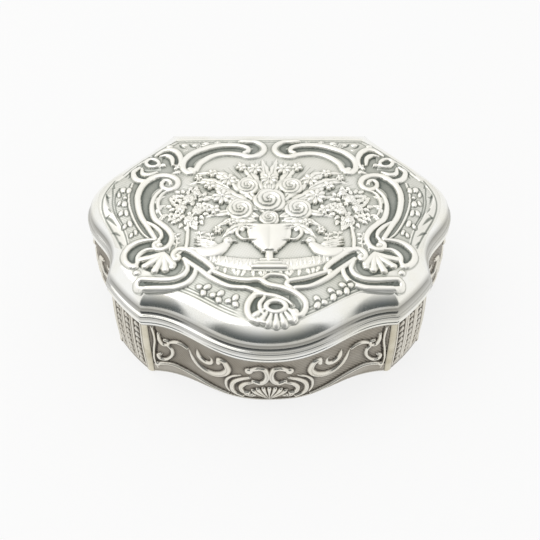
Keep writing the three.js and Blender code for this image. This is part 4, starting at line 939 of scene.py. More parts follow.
def drawLidBorder(sheet):
    lines = borderLines
    bothSides(sunkChannel, sheet, lines["flatBand"], 1.2, 0.62, 0.1)
    bothSides(roundStroke, sheet, lines["fillet"], 0.3, 0.24, (0.8, 0.8), peak=ridge["peak"])
    bothSides(groove, sheet, np.array(lines["fillet"]) - [0.5, 0], 0.22, 0.1, 0.9)
    for middle, radii, turn in ribbonLobes:
        ringedBead(sheet, middle, radii, 0.4, turn)
        ringedBead(sheet, flipped(middle), radii, 0.4, -turn)
    for path in ribbonLines.values():
        bothSides(groove, sheet, path, 0.24, 0.1, 1.0)
    for path, width in ribbonLeaves:
        bothSides(darkLeaf, sheet, path, width)
    across = np.abs(sheet["x"])
    along = np.clip((across - frontLines["from"]) / 1.5, 0, 1)
    along *= np.clip((frontLines["to"] - across) / 3.0, 0, 1)
    along *= sheet["y"] < frontLines["y"]
    for inset in frontLines["insets"]:  # fine lines beside the panel's front edge
        cutInto(sheet, ..., along * np.exp(-((lidEdge - inset) / frontLines["half"]) ** 2), 0.1, 0.9)
    for shift in (0.0, 0.6):
        bothSides(groove, sheet, np.array(lines["back"]) - [0, shift], 0.18, 0.1, 0.9)
    for shift in (0.0, 0.6):
        bothSides(groove, sheet, np.array(lines["rear"]) + [shift, -shift], 0.2, 0.1, 0.8)
    for path in rearLeaves:
        bothSides(darkLeaf, sheet, path, 0.36)
    for middle in rearScales:
        bothSides(bead, sheet, middle, (0.8, 0.6), 0.3)


# what the scrolls stand on, the palmette of each front corner, the beads of rolled ends and the leaves
scrollGrounds = [  # path, half width and tone
    ([(-27.4, 19.6), (-25.0, 18.6), (-24.0, 16.6)], 2.2, 0.6),
    ([(-30.2, 17.2), (-28.4, 15.8), (-25.6, 15.6)], 1.5, 0.6),
    ([(-27.6, -10.6), (-25.4, -12.0), (-21.6, -13.2)], 2.7, 0.85)]
palmette = {"hub": (-23.3, -9.8), "bend": (0.05, -0.2), "lean": 22, "spread": 128, "radius": 4.9,
            "half": 0.78,
            "tips": [(-28.2, -11.3), (-27.3, -13.1), (-25.1, -14.4), (-22.8, -14.2), (-21.2, -12.9)]}
scrollBeads = [  # place, radii and rise
    ((-24.5, -7.5), (0.8, 0.7), 0.66), ((-20.2, -10.5), (0.55, 0.5), 0.66),
    ((-29.6, -13.1), (0.9, 0.8), 0.64),
    ((-29.0, -14.8), (0.85, 0.7), 0.55), ((-18.4, 15.0), (1.0, 0.8), 0.62)]
scrollLeaves = [  # path, half width, rise and lobes
    ([(-26.0, 4.4), (-25.5, 6.2), (-23.9, 7.2)], 0.72, 0.5, 3),
    ([(-25.8, 1.8), (-25.0, 3.6), (-23.4, 4.2)], 0.72, 0.5, 3),
    ([(-25.0, -0.6), (-24.0, 0.9), (-22.6, 1.3)], 0.72, 0.5, 3),
    ([(-20.9, 15.2), (-21.8, 14.6), (-23.2, 14.6)], 0.65, 0.5, 2),
    ([(-20.9, 16.4), (-21.8, 16.6), (-22.6, 17.6)], 0.65, 0.5, 2),
    ([(-24.6, 17.0), (-25.6, 17.4), (-26.4, 16.6)], 0.65, 0.5, 2)]
trefoil = {"reach": 0.9, "lobe": (1.0, 0.72), "rise": 0.5}


def drawLidScrolls(sheet):
    for path, *channel in scrollGrounds + list(lidChannels.values()):
        bothSides(sunkChannel, sheet, path, *channel)
    for path, width in frontChannels.values():
        sunkChannel(sheet, path, width)
    hub = np.array(palmette["hub"])
    for middle, lean in ((hub, -palmette["lean"]), (flipped(hub), palmette["lean"])):
        fanShell(sheet, middle, 270 + lean, palmette["spread"], palmette["radius"], 5, 0.5)
    for tip in palmette["tips"]:
        middle = (hub + tip) / 2 + palmette["bend"]
        bothSides(roundStroke, sheet, [hub, middle, tip], palmette["half"], 0.66, (0.6, 1.0))
        bothSides(bead, sheet, tip, (0.92, 0.8), 0.66)
    for path, width, taper in lidRidges.values():
        bothSides(roundStroke, sheet, path, width, ridge["rise"], taper, peak=ridge["peak"])
    for path, width, taper in frontRidges.values():
        roundStroke(sheet, path, width, ridge["rise"], taper, peak=ridge["peak"])
    for middle, radii, rise in scrollBeads:
        bothSides(bead, sheet, middle, radii, rise)
    for side in (-1, 1):
        ovalRing(sheet, (side * 27.9, 18.2), (1.15, 0.8), 0.56, 0.62, side * 30)
    for path, *leaf in scrollLeaves:
        bothSides(leafStroke, sheet, path, *leaf)
    for x, y, turn in frontTrefoils:
        for leaf in (turn, turn + 120, turn + 240):
            a = math.radians(leaf)
            middle = (x + trefoil["reach"] * math.cos(a), y + trefoil["reach"] * math.sin(a))
            ringedBead(sheet, middle, trefoil["lobe"], trefoil["rise"], leaf)


frontShell = {"hub": (1.4, -23.0), "towards": 271, "spread": 128, "radius": 6.4, "lobes": 7, "rise": 0.66,
              "eye": (1.4, -24.2), "eyeHole": (1.5, 0.85), "eyeRing": 0.72}
frontCurls = [[(-2.4, -27.2), (-1.4, -28.0), (-0.2, -28.3)], [(5.2, -26.4), (5.6, -27.2), (5.4, -27.8)]]


def drawFrontShell(sheet):
    fanShell(sheet, *[frontShell[size] for size in ("hub", "towards", "spread", "radius", "lobes", "rise")])
    ovalRing(sheet, frontShell["eye"], frontShell["eyeHole"], frontShell["eyeRing"], 0.8)
    bead(sheet, (5.4, -25.4), (1.0, 0.85), 0.72)  # the strap's rolled end
    for path in frontCurls:
        roundStroke(sheet, path, 0.6, 0.6, (0.8, 0.6))


bouquet = {
    "roses": [(0, 4.8, 4.0, 1.15), (6.6, 2.2, 3.3, 1.0), (5.0, 9.4, 2.9, 0.95), (0, -0.6, 2.4, 0.95)],
    "daisies": [(10.8, 6.2, 2.5, 8), (9.6, 11.6, 2.1, 7), (3.4, 15.2, 1.9, 7), (0, 11.8, 2.2, 9),
                (13.8, 9.8, 1.5, 5), (12.6, 2.2, 1.6, 5), (6.6, 15.8, 1.4, 5), (13.4, 13.8, 1.3, 5),
                (16.6, 12.4, 1.1, 5), (11.6, -3.9, 1.2, 6), (8.6, -1.7, 1.2, 5)],
    "leaves": [[(2, 0), (8, 1.6), (15, 0.2)], [(2, 2), (9, 5.2), (16.0, 6.6)],
               [(2, 4), (7.6, 10.0), (12.8, 14.2)], [(1, 6), (4.2, 13.0), (7.4, 18.4)],
               [(3, -1), (7.6, -0.8), (12.0, -2.6)], [(0.4, 8), (0.9, 14), (1.8, 19.2)],
               [(3, 3), (9.6, 7.4), (15.2, 11.8)], [(6, 10), (11.6, 13.4), (17.2, 14.4)],
               [(4, -2.4), (7.8, -3.4), (10.6, -5.8)], [(9, 8.6), (14.4, 11.4), (18.6, 10.8)]],
}


def drawBouquet(sheet):
    for path in bouquet["leaves"]:
        bothSides(leafStroke, sheet, path, 1.5, 0.55, 5)
    for x, y, radius, petals in bouquet["daisies"]:
        for side in (1, -1) if x else (1,):
            blossom(sheet, (side * x, y), radius, petals, 0.85, 10 * petals, 0.15)
    for x, y, radius, rise in reversed(bouquet["roses"]):
        for side in (1, -1) if x else (1,):
            rose(sheet, (side * x, y), radius, rise, 40 * side, 0.2)


vase = {
    # low, high, half
    "steps": [(-14.6, -13.5, 3.6), (-13.5, -12.7, 2.7), (-12.7, -11.9, 1.8), (-10.4, -9.9, 1.6)],
    "stem": [(0, -12.2), (0, -11.2), (0, -10.2)],
    "bowlFoot": -9.8, "bowlTop": -3.2, "bowlHalf": 1.6, "bowlSwell": 3.4, "bowlHigh": 0.85, "gadroon": 0.16,
    "rings": [(-2.8, 4.8, 0.46), (-3.8, 4.2, 0.25), (-7.0, 4.4, 0.22)],  # height, half width, thickness
    "handle": [(-4.6, -3.4), (-6.6, -3.2), (-7.2, -5.0), (-5.8, -6.6), (-4.4, -6.4)],
}


def drawVase(sheet):
    for low, high, half in vase["steps"]:
        middle = (low + high) / 2
        step = [(-half, middle), (0, middle), (half, middle)]
        roundStroke(sheet, step, (high - low) / 1.7, 0.62, (0.9, 0.9), 0.14)
    roundStroke(sheet, vase["stem"], 0.95, 0.6, (0.9, 0.9), 0.2)
    for row in np.linspace(vase["bowlFoot"], vase["bowlTop"], 30):
        up = (row - vase["bowlFoot"]) / (vase["bowlTop"] - vase["bowlFoot"])
        half = vase["bowlHalf"] + vase["bowlSwell"] * math.sin(1.9 * up) ** 0.9
        window = windowOf(sheet, np.array([[-half, row], [half, row]]), 0.25)
        across = np.clip(sheet["x"][window] / half, -1, 1)
        gadroons = vase["gadroon"] * np.abs(np.sin(3.5 * np.arcsin(across)))
        bowl = 0.2 + (vase["bowlHigh"] + gadroons) * np.sqrt(1 - across ** 2)
        laidOver(sheet, window, bowl, np.abs(across) < 1)
    for y, half, thick in vase["rings"]:
        roundStroke(sheet, [(-half, y), (0, y - 0.25), (half, y)], thick, 0.5, (0.9, 0.9), 0.55)
    bothSides(roundStroke, sheet, vase["handle"], 0.46, 0.7, (0.8, 0.6))


roseTree = {
    "foot": (18.6, -10.2), "crown": (18.4, 3.0), "radii": (4.2, 5.8), "leaves": 64, "turn": 2.39996,
    "leaf": 1.7,
    "roses": [(0.2, 2.6, 1.4), (-1.9, -1.2, 1.25), (1.9, -0.2, 1.3), (-0.2, -3.6, 1.2), (-1.6, 4.4, 1.0)],
}


def drawRoseTree(sheet, side):  # a clipped standard rose beside the vase
    t = roseTree
    foot, crown = (side * t["foot"][0], t["foot"][1]), (side * t["crown"][0], t["crown"][1])
    roundStroke(sheet, [foot, (foot[0] + 0.3, -6.0), (crown[0], -1.5)], 0.5, 0.55, (1.0, 0.7))
    for k in reversed(range(t["leaves"])):
        far, angle = math.sqrt((k + 0.5) / t["leaves"]), k * t["turn"]
        x = crown[0] + side * far * t["radii"][0] * math.cos(angle)
        y = crown[1] + far * t["radii"][1] * math.sin(angle)
        heading = angle + 0.5 * math.sin(5 * angle)
        tip = (x + side * t["leaf"] * math.cos(heading), y + t["leaf"] * math.sin(heading))
        leafStroke(sheet, [(x, y), ((x + tip[0]) / 2, (y + tip[1]) / 2 + 0.15), tip], 0.62, 0.5, 2, 0.1)
    for x, y, radius in t["roses"]:
        rose(sheet, (crown[0] + side * x, crown[1] + y), radius, 0.7, side * 50, 0.25)


bird = {
    "body": [(16.6, -9.0), (13.8, -9.9), (11.2, -9.4), (9.6, -8.0)], "head": (9.2, -7.0),
    "beak": [(8.2, -7.0), (7.6, -7.1), (7.1, -7.4)], "eye": [(9.0, -6.85), (8.95, -6.8), (8.9, -6.85)],
    "leg": [(12.0, -11.2), (11.9, -12.0), (11.5, -12.6)],
}


def drawBirds(sheet):  # a garden bird on each side, on the grass and turned to the vase
    bothSides(roundStroke, sheet, bird["body"], 1.7, 0.8, (0.3, 0.6), 0.1)
    bothSides(bead, sheet, bird["head"], (1.15, 1.05), 0.95, 0, 0.1)
    bothSides(roundStroke, sheet, bird["beak"], 0.28, 0.55, (0.9, 0.3), 0.1)
    for lift in (0.0, 0.6, 1.2):  # wing
        feather = [(11.4, -8.6 + lift / 2), (14.0, -8.4 + lift), (16.8, -7.6 + 1.3 * lift)]
        bothSides(leafStroke, sheet, feather, 0.6, 0.55, 3, 0.45)
    for drop in (0.0, 0.6):  # tail
        feather = [(15.6, -9.2), (17.6, -9.0 - drop), (19.8, -8.4 - drop)]
        bothSides(leafStroke, sheet, feather, 0.55, 0.45, 0, 0.2)
    bothSides(roundStroke, sheet, bird["leg"], 0.2, 0.4, (0.9, 0.9), 0.1)
    bothSides(groove, sheet, bird["eye"], 0.2, 0.25, 1.0)


garden = {
    "haze": 0.16, "rays": 34, "rayFrom": 24, "rayTo": 156, "stems": (13.2, 15.4, 20.9, 22.2),
    "stemFoot": -9.2,
    "mound": [(-20, -9.6), (-14, -11.2), (-7, -13.0), (0, -13.6), (7, -13.0), (14, -11.2), (20, -9.6)],
}


def drawGarden(sheet):  # own generic design in the field: a vase of flowers between rose trees and birds
    # painted shade: a broad grey wash behind the bouquet
    sheet["tone"] += garden["haze"] * np.exp(-(sheet["x"] / 17) ** 2 - ((sheet["y"] - 3) / 12) ** 2)
    # fine rays behind the flowers
    for turn in np.linspace(garden["rayFrom"], garden["rayTo"], garden["rays"]):
        a = math.radians(turn)
        near, far = 12.5, (19.5 if 40 < turn < 140 else 22.0)
        reaches = (near, (near + far) / 2, far)
        ray = [(reach * math.cos(a), 2 + 0.84 * reach * math.sin(a)) for reach in reaches]
        groove(sheet, ray, 0.16, 0.06, 0.4)
    roundStroke(sheet, garden["mound"], 1.7, 0.36, (0.3, 0.3))
    for x in np.linspace(-17, 17, 24):  # leaves in the foreground
        y, lean = -15.6 + 0.0115 * x * x, 0.9 * math.cos(3.1 * x)
        leafStroke(sheet, [(x, y + 0.6), (x + lean / 2, y - 0.2), (x + lean, y - 1.2)], 0.5, 0.36, 2)
    foot = garden["stemFoot"]
    for x in garden["stems"]:  # tall stems behind the birds
        top = -3.4 - 0.25 * abs(x - 17.5)
        stem = [(x, foot), (x - 0.3, (top + foot) / 2), (x + 0.3, top)]
        bothSides(roundStroke, sheet, stem, 0.22, 0.34, (0.8, 0.8))
        for y in [foot + lift * (top - foot) for lift in (0.35, 0.6, 0.85)]:
            for way in (-1, 1):
                leaf = [(x, y), (x + 0.7 * way, y + 0.5), (x + 1.3 * way, y + 0.7)]
                bothSides(leafStroke, sheet, leaf, 0.36, 0.36)
    for x in np.linspace(-19, 19, 39):  # grass on the mound
        lean, y = 0.5 * math.sin(2.3 * x), -13.6 + 0.0108 * x * x
        blade = [(x, y - 0.8), (x + lean / 2, y + 0.5), (x + lean, y + 1.8)]
        leafStroke(sheet, blade, 0.36, 0.4, 0, 0.12, 0.2)
    for side in (-1, 1):
        drawRoseTree(sheet, side)
    drawBirds(sheet)
    drawVase(sheet)
    drawBouquet(sheet)


drawLidGround(lidSheet)
drawLidBorder(lidSheet)
drawGarden(lidSheet)
drawLidScrolls(lidSheet)
drawFrontShell(lidSheet)
lidLook = {"wide": 0.6, "fine": 0.22, "ground": 0.05, "hollow": 1.2, "crease": 2.0, "drawn": 0.66}
lidPatina = settledPatina(lidSheet, lidLook)
# beyond the edge the bare sheet dips under the ovolo, while ornament that crosses the edge stays on it
crossingSizes = {"tone": 0.6, "x": 24, "rise": 0.15, "reach": 2.6, "end": 2.9, "soft": 0.4, "dip": 0.35}
cutIn = (lidSheet["tone"] > crossingSizes["tone"]) & (np.abs(lidSheet["x"]) > crossingSizes["x"])
crossing = ((lidSheet["rise"] > crossingSizes["rise"]) | cutIn) & (lidEdge > -crossingSizes["reach"])
cover = np.clip(5 * blurred(crossing.astype(float), crossingSizes["soft"] / lidSheet["step"]), 0, 1)
cover *= lidEdge > -crossingSizes["end"]
outside = np.clip(-ribbonEdge / crossingSizes["dip"], 0, 1) * (1 - cover)
onOvolo = 0.03 - 0.5 * np.maximum(lidEdge, 0)  # cuts beyond the edge end just above the ovolo
lidTop = lidSkin + np.maximum(lidSheet["rise"], onOvolo) - lidSheetSizes["tuck"] * outside


def gridNormals(z, step):
    slopeY, slopeX = np.gradient(z, step)
    normals = np.stack([-slopeX, -slopeY, np.ones_like(z)], -1)
    return normals / np.linalg.norm(normals, axis=-1)[..., None]


# the cells of a grid of points whose four corners are kept
def sheetMesh(name, points, keep, faceDown=False):
    quads = gridQuads(keep.shape)[keep[:-1, :-1] & keep[1:, :-1] & keep[:-1, 1:] & keep[1:, 1:]]
    if faceDown:
        quads = quads[:, [0, 3, 2, 1]]
    used, quads = np.unique(quads, return_inverse=True)
    return meshFrom(name, points.reshape(-1, 3)[used], [quads.reshape(-1, 4)]), used


keepLid = (ribbonEdge > -lidSheetSizes["overlap"]) | (cover > 0.02)
lidPoints = np.stack([lidSheet["x"], lidSheet["y"], lidTop], -1)
lidNormals = gridNormals(lidTop, lidSheet["step"])
middle = len(lidSheet["xs"]) // 2
for name, half in (("lid_relief_left", np.s_[:, :middle + 1]), ("lid_relief_right", np.s_[:, middle:])):
    mesh, used = sheetMesh(name, lidPoints[half], keepLid[half])
    setPatina(mesh, lidPatina[half].ravel()[used])
    mesh.normals_split_custom_set_from_vertices(lidNormals[half].reshape(-1, 3)[used].tolist())
    newPiece(name, mesh, [lidSilver], "lid", ["lid_shell"])
print("lid relief laid")

# the plain gilt underside of the lid, whose edge ends inside the moulding's thickness
liningSizes = {"step": 4, "reach": 0.7}
thin = np.s_[::liningSizes["step"], ::liningSizes["step"]]
under = panelEdge - lidSizes["sheet"] + lidSizes["dome"] * lidDome
liningPoints = np.stack([lidSheet["x"], lidSheet["y"], under], -1)[thin]
lining, used = sheetMesh("lid_lining", liningPoints, (lidEdge > -liningSizes["reach"])[thin], faceDown=True)
newPiece("lid_lining", lining, [giltSilver], "lid", ["lid_shell"])


# base walls: a relief sheet wrapped on the outside of each panel
def wallInset(height, bow):  # inset of the bare wall at a height
    share = (height - baseSizes["bottom"]) / (rimFoot - baseSizes["bottom"])
    lean = (1 - share) * bow * outlineSizes["bowLean"]
    return baseSizes["wallIn"] - baseSizes["belly"] * np.sin(np.pi * share) + lean


wallSheetSizes = {"step": 0.13, "rows": 146, "insideRows": 8, "peak": 0.9}


def wallSheet(run):
    stations = evenRun(runs[run], wallSheetSizes["step"], baseSizes["ribHalf"] + baseSizes["seam"])
    heights = np.linspace(baseSizes["bottom"], rimFoot, wallSheetSizes["rows"])
    x, y = np.meshgrid(stations["at"], heights)
    return {"xs": stations["at"], "ys": heights, "x": x, "y": y, "rise": np.zeros_like(x),
            "tone": np.zeros_like(x),
            "step": heights[1] - heights[0], "stations": stations, "peak": wallSheetSizes["peak"]}


def insideRows(stations):  # the smooth inner face, from the rim down
    heights = np.linspace(rimFoot, baseSizes["bottom"], wallSheetSizes["insideRows"])
    return [(height, wallInset(height, stations["bow"]) + baseSizes["wall"]) for height in heights]


# rows of height and inset, up and down again
def uprightMesh(name, stations, outside, inside, tones, sharpAngle):
    points = np.stack([np.c_[stations["spot"] - stations["out"] * depth[:, None], np.full(len(depth), height)]
                       for height, depth in outside + inside])
    count, length = points.shape[:2]
    index = np.arange(count * length).reshape(count, length)
    ends = [index[:, 0][None, :], index[::-1, -1][None, :]]
    mesh = meshFrom(name, points.reshape(-1, 3), [gridQuads(index.shape, (1, 0)).reshape(-1, 4), *ends])
    setPatina(mesh, tones)
    faceOutwards(mesh)
    gilt = np.repeat(np.arange(count) >= len(outside) - 1, length - 1)
    mesh.polygons.foreach_set("material_index", np.append(gilt, [False, False]).astype(np.int32))
    mesh.set_sharp_from_angle(angle=math.radians(sharpAngle))
    return mesh


def wallPiece(name, sheet, tone, node):
    stations = sheet["stations"]
    outside = [(height, wallInset(height, stations["bow"]) - rise)
               for height, rise in zip(sheet["ys"], sheet["rise"])]
    inside = insideRows(stations)
    tones = np.append(tone.ravel(), np.zeros(len(inside) * len(sheet["xs"])))
    mesh = uprightMesh(name, stations, outside, inside, tones, 60)
    newPiece(name, mesh, [wallSilver, giltSilver], "base", [node])


# slanting hatch behind the scrolls, and a plain foot painted with shade that is darkest where it meets the
# table
wallGround = {"pitch": 0.9, "slant": 0.8, "high": 0.05, "tone": 0.68, "lineTone": 0.3, "footTone": 0.42,
              "tableTone": 0.6, "tableFade": 0.4}


def drawWallGround(sheet, foot):
    g = wallGround
    hatch = np.sin((sheet["x"] + g["slant"] * sheet["y"]) * 2 * np.pi / g["pitch"])
    # painted shade on the plain foot, deepest where it meets the table
    footShade = g["footTone"] + g["tableTone"] * np.exp(-(sheet["y"] - baseSizes["bottom"]) / g["tableFade"])
    plain = sheet["y"] < foot
    sheet["rise"] = np.where(plain, baseSizes["footOut"], g["high"] * hatch)
    sheet["tone"] = np.where(plain, footShade, g["tone"] + g["lineTone"] * hatch)


def drawStrokes(sheet, strokes, stretch=1.0):  # mirrored round strokes: path, half width, rise and taper
    for path, *stroke in strokes.values():
        bothSides(roundStroke, sheet, np.array(path) * [stretch, 1], *stroke)


frontEdges = {
    "foot": ([(-28.6, 4.0), (-26.8, 4.7), (-24.4, 5.0), (-22.2, 4.4), (-18.4, 3.2), (-15.0, 2.1),
              (-10.8, 1.3)], 0.55, 0.72, (0.9, 0.7)),
    "wave": ([(-28.5, 18.6), (-28.2, 16.0), (-28.2, 13.6), (-28.6, 10.5), (-28.9, 7.0), (-28.8, 4.4),
              (-28.4, 2.2)], 0.38, 0.45, (0.9, 0.6)),
}
frontScrolls = {
    "echoC": ([(-6.6, 12.4), (-9.0, 10.8), (-10.6, 8.0), (-10.9, 5.0), (-10.3, 2.6)], 0.48, 0.48,
               (0.3, 0.4)),
    "outerC": ([(-4.6, 12.0), (-6.5, 10.8), (-8.5, 8.6), (-9.4, 5.6), (-9.0, 3.2), (-6.8, 1.7)], 0.72, 0.7,
                (0.5, 0.6)),
    "innerC": ([(-3.9, 9.8), (-5.8, 8.6), (-7.0, 6.4), (-6.7, 4.4), (-5.3, 4.1)], 0.74, 0.66, (0.5, 0.9)),
    "smallC": ([(-4.3, 15.5), (-2.4, 16.5), (-1.0, 15.9), (-0.45, 13.5), (-0.9, 11.0), (-2.1, 9.8),
                (-3.3, 10.2)], 0.86, 0.76, (0.7, 0.8)),
    "comma": ([(-20.0, 14.2), (-18.8, 10.8), (-16.5, 8.9), (-13.6, 8.9), (-11.0, 10.8), (-9.9, 13.4),
               (-10.6, 15.9), (-11.9, 16.1), (-12.2, 14.8)], 1.02, 0.74, (0.1, 0.7)),
    "upperS": ([(-27.2, 16.6), (-27.1, 14.4), (-26.4, 12.9), (-25.3, 13.2), (-25.1, 14.4), (-25.9, 14.6)],
                0.56, 0.62, (0.7, 0.8)),
    "lowerS": ([(-25.3, 12.8), (-24.4, 11.4), (-24.6, 9.0), (-26.0, 6.8), (-27.5, 6.7), (-27.9, 8.1),
                (-27.2, 8.6)], 0.56, 0.62, (0.7, 0.8)),
    "armS": ([(-24.7, 14.2), (-23.2, 15.1), (-21.7, 15.2), (-20.4, 14.6)], 0.56, 0.62, (0.7, 0.8)),
}
frontLeaf = [(-17.8, 15.8), (-17.2, 13.5), (-15.6, 12.6), (-14.2, 13.3), (-14.0, 14.9), (-14.9, 15.6)]
frontBeads = [((-4.7, 15.0), 1.05, 0.78), ((-28.3, 4.0), 0.75, 0.65), ((-3.7, 10.4), 0.6, 0.65)]


def drawFront(sheet):
    footPath = smoothPath(frontEdges["foot"][0])
    footLine = np.interp(-np.abs(sheet["xs"]), footPath[:, 0], footPath[:, 1], 4.0, 1.0)
    drawWallGround(sheet, footLine[None, :])
    drawStrokes(sheet, frontEdges)
    besideWave = [(x + 0.6, y) for x, y in frontEdges["wave"][0] if y > 4.2]
    bothSides(groove, sheet, besideWave, 0.32, 0.12, 1.0)
    drawStrokes(sheet, frontScrolls)
    bothSides(leafStroke, sheet, frontLeaf, 0.75, 0.55, 0, 0.0, 0.2)
    for name in ("outerC", "innerC", "smallC", "comma"):  # a line chased along each broad scroll
        bothSides(groove, sheet, frontScrolls[name][0][1:-1], 0.24, 0.14, 0.6)
    for middle, radius, rise in frontBeads:
        bothSides(bead, sheet, middle, (radius, radius), rise)
    bothSides(fanShell, sheet, (4.9, 1.6), 90, 110, 2.2, 4, 0.5)
    fanShell(sheet, (0.0, 1.1), 90, 96, 6.7, 7, 0.85)


earDesign = {"ribs": (-5.0, -2.05, -1.35, 1.35, 2.05, 5.0), "foot": 2.4, "top": 19.6, "beside": 0.45}


def drawEar(sheet):
    foot, top = earDesign["foot"], earDesign["top"]
    drawWallGround(sheet, baseSizes["bottom"] + baseSizes["footHeight"])
    sheet["tone"][sheet["y"] > foot] += 0.9  # black left deep between the husks
    for rib in earDesign["ribs"]:
        for x in (rib - earDesign["beside"], rib + earDesign["beside"]):
            groove(sheet, [(x, foot), (x, top)], 0.3, 0.1, 1.6)
        roundStroke(sheet, [(rib, 2.2), (rib, 8), (rib, 14), (rib, top)], 0.27, 0.42, (0.9, 0.9))


sideScrolls = {
    "echoC": ([(-6.4, 12.4), (-9.6, 10.2), (-10.6, 7.0), (-10.0, 4.2)], 0.34, 0.4, (0.3, 0.4)),
    "wideC": ([(-3.6, 12.0), (-6.6, 10.6), (-8.8, 8.0), (-8.8, 5.0), (-6.4, 3.2)], 0.58, 0.62, (0.5, 0.7)),
    "bigC": ([(-6.5, 15.2), (-4.0, 16.2), (-1.4, 15.4), (-0.5, 13.0), (-1.2, 10.8), (-2.8, 10.2)], 0.66,
              0.68, (0.7, 0.8)),
    "comma": ([(-22.0, 14.6), (-20.4, 11.0), (-17.6, 8.8), (-14.4, 9.2), (-12.4, 11.4), (-12.6, 14.0),
               (-14.2, 14.4)], 0.85, 0.66, (0.1, 0.7)),
    "ring": ([(-26.0, 13.0), (-24.6, 11.6), (-24.4, 9.0), (-25.8, 6.8), (-27.2, 7.2), (-26.8, 8.8)], 0.42,
              0.55, (0.7, 0.8)),
    "hook": ([(-27.4, 16.6), (-27.2, 14.4), (-26.2, 13.0), (-25.2, 13.8), (-25.8, 14.9)], 0.42, 0.55,
              (0.7, 0.8)),
}
sideLeaf = [(-19.8, 15.8), (-18.4, 13.6), (-16.6, 13.0), (-15.6, 14.0)]
sideFootLeaf = [(-11.4, 4.2), (-15.6, 5.6), (-20.4, 5.0)]
sideReach = 28.4  # half the length that the side's scrolls are drawn for


def drawSide(sheet):
    reach = sheet["xs"][-1] - 1.0
    stretch = np.array([reach / sideReach, 1])  # fits the drawing to a shorter or longer run
    drawWallGround(sheet, baseSizes["bottom"] + baseSizes["footHeight"] + 0.4)
    bothSides(roundStroke, sheet, [(-reach, 2.9), (-reach / 2, 2.9), (0, 2.9)], 0.45, 0.5, (0.9, 0.9))
    drawStrokes(sheet, sideScrolls, stretch[0])
    bothSides(leafStroke, sheet, sideLeaf * stretch, 0.75, 0.55, 0, 0.0, 0.2)
    for name in ("wideC", "bigC", "comma"):
        bothSides(groove, sheet, sideScrolls[name][0][1:-1] * stretch, 0.22, 0.14, 0.6)
    bothSides(bead, sheet, (6.9, 14.8) * stretch, (0.85, 0.85), 0.7)
    bothSides(bead, sheet, (3.2, 10.4) * stretch, (0.6, 0.6), 0.65)
    bothSides(leafStroke, sheet, sideFootLeaf, 0.9, 0.5, 5)
    fanShell(sheet, (0.0, 3.0), 90, 120, 5.6, 7, 0.75)


wallLook = {"wide": 0.7, "fine": 0.24, "ground": 0.16, "hollow": 1.4, "crease": 2.0, "drawn": 0.5}
wallPlans = [("front_panel", "front", drawFront), ("ear_panel_right", "earRight", drawEar),
             ("ear_panel_left", "earLeft", drawEar), ("side_panel_right", "sideRight", drawSide),
             ("side_panel_left", "sideLeft", drawSide), ("back_panel", "back", drawSide)]
wallSheets = {}
for node, run, draw in wallPlans:
    sheet = wallSheet(run)
    draw(sheet)
    wallSheets[run] = sheet
    wallPiece(node + "_relief", sheet, settledPatina(sheet, wallLook), node)
print("walls chased")


# corner ribs: plain polished pilasters with a rounded face and a spreading foot, with painted shade along
# their two edges
ribSizes = {"round": 0.18, "flare": 0.22, "flareHeight": 1.6, "rows": 40, "step": 0.15, "fine": 0.01,
            "faceTone": 0.08, "edgeTone": 0.8}
ribPlans = [("rib_front_right", "front", "earRight"), ("rib_ear_right", "earRight", "sideRight"),
            ("rib_back_right", "sideRight", "back"), ("rib_back_left", "back", "sideLeft"),
            ("rib_ear_left", "sideLeft", "earLeft"), ("rib_front_left", "earLeft", "front")]


def ribPiece(name, before, after):
    away = round(baseSizes["ribHalf"] / ribSizes["fine"])
    start = evenRun(runs[before], ribSizes["fine"])["spot"][-1 - away]
    end = evenRun(runs[after], ribSizes["fine"])["spot"][away]
    stations = evenRun(bezier([start, runs[after][0], end], 60), ribSizes["step"])
    across = np.linspace(-1, 1, len(stations["at"]))
    hollow = ribSizes["round"] - ribSizes["round"] * np.sin(np.linspace(0, np.pi, len(across)))
    outside = []
    for height in np.linspace(baseSizes["bottom"], rimFoot, ribSizes["rows"]):
        flare = ribSizes["flare"] * math.exp(-(height - baseSizes["bottom"]) / ribSizes["flareHeight"])
        outside.append((height, wallInset(height, stations["bow"]) - baseSizes["ribOut"] - flare + hollow))
    inside = insideRows(stations)
    # painted shade rising towards the pilaster's two edges
    tone = ribSizes["faceTone"] + ribSizes["edgeTone"] * np.abs(across) ** 6
    mesh = uprightMesh(name, stations, outside, inside, np.tile(tone, len(outside) + len(inside)), 40)
    newPiece(name + "_pilaster", mesh, [ribSilver, giltSilver], "base", [name])


for plan in ribPlans:
    ribPiece(*plan)
print("ribs set")


# bottom plate: planished silver outside, gilt inside, its edge eased
bottomSizes = {"step": 0.3, "in": 0.15,
               "edge": [(0.0, 0.25), (0.07, 0.08), (0.22, 0.0), (baseSizes["bottom"], 0.0)]}


def bottomPlate():
    ring = outlineRing(bottomSizes["step"], 2.0)
    inset = baseSizes["wallIn"] - baseSizes["footOut"] + bottomSizes["in"]
    inset = inset + ring["bow"] * outlineSizes["bowLean"]
    loops = [np.c_[ring["spot"] - ring["out"] * (inset + ease)[:, None], np.full(len(inset), height)]
             for height, ease in bottomSizes["edge"]]
    index = np.arange(len(loops) * len(inset)).reshape(len(loops), len(inset))
    faces = [gridQuads(index.shape, (0, 1)).reshape(-1, 4), index[0, ::-1][None, :], index[-1][None, :]]
    mesh = meshFrom("base_bottom_plate", np.concatenate(loops), faces)
    faceOutwards(mesh)
    slots = np.zeros(len(mesh.polygons), np.int32)
    slots[-1] = 1  # the face inside the box
    mesh.polygons.foreach_set("material_index", slots)
    mesh.set_sharp_from_angle(angle=math.radians(50))
    newPiece("base_bottom_plate", mesh, [plainSilver, giltSilver], "base", ["base_bottom"])


bottomPlate()


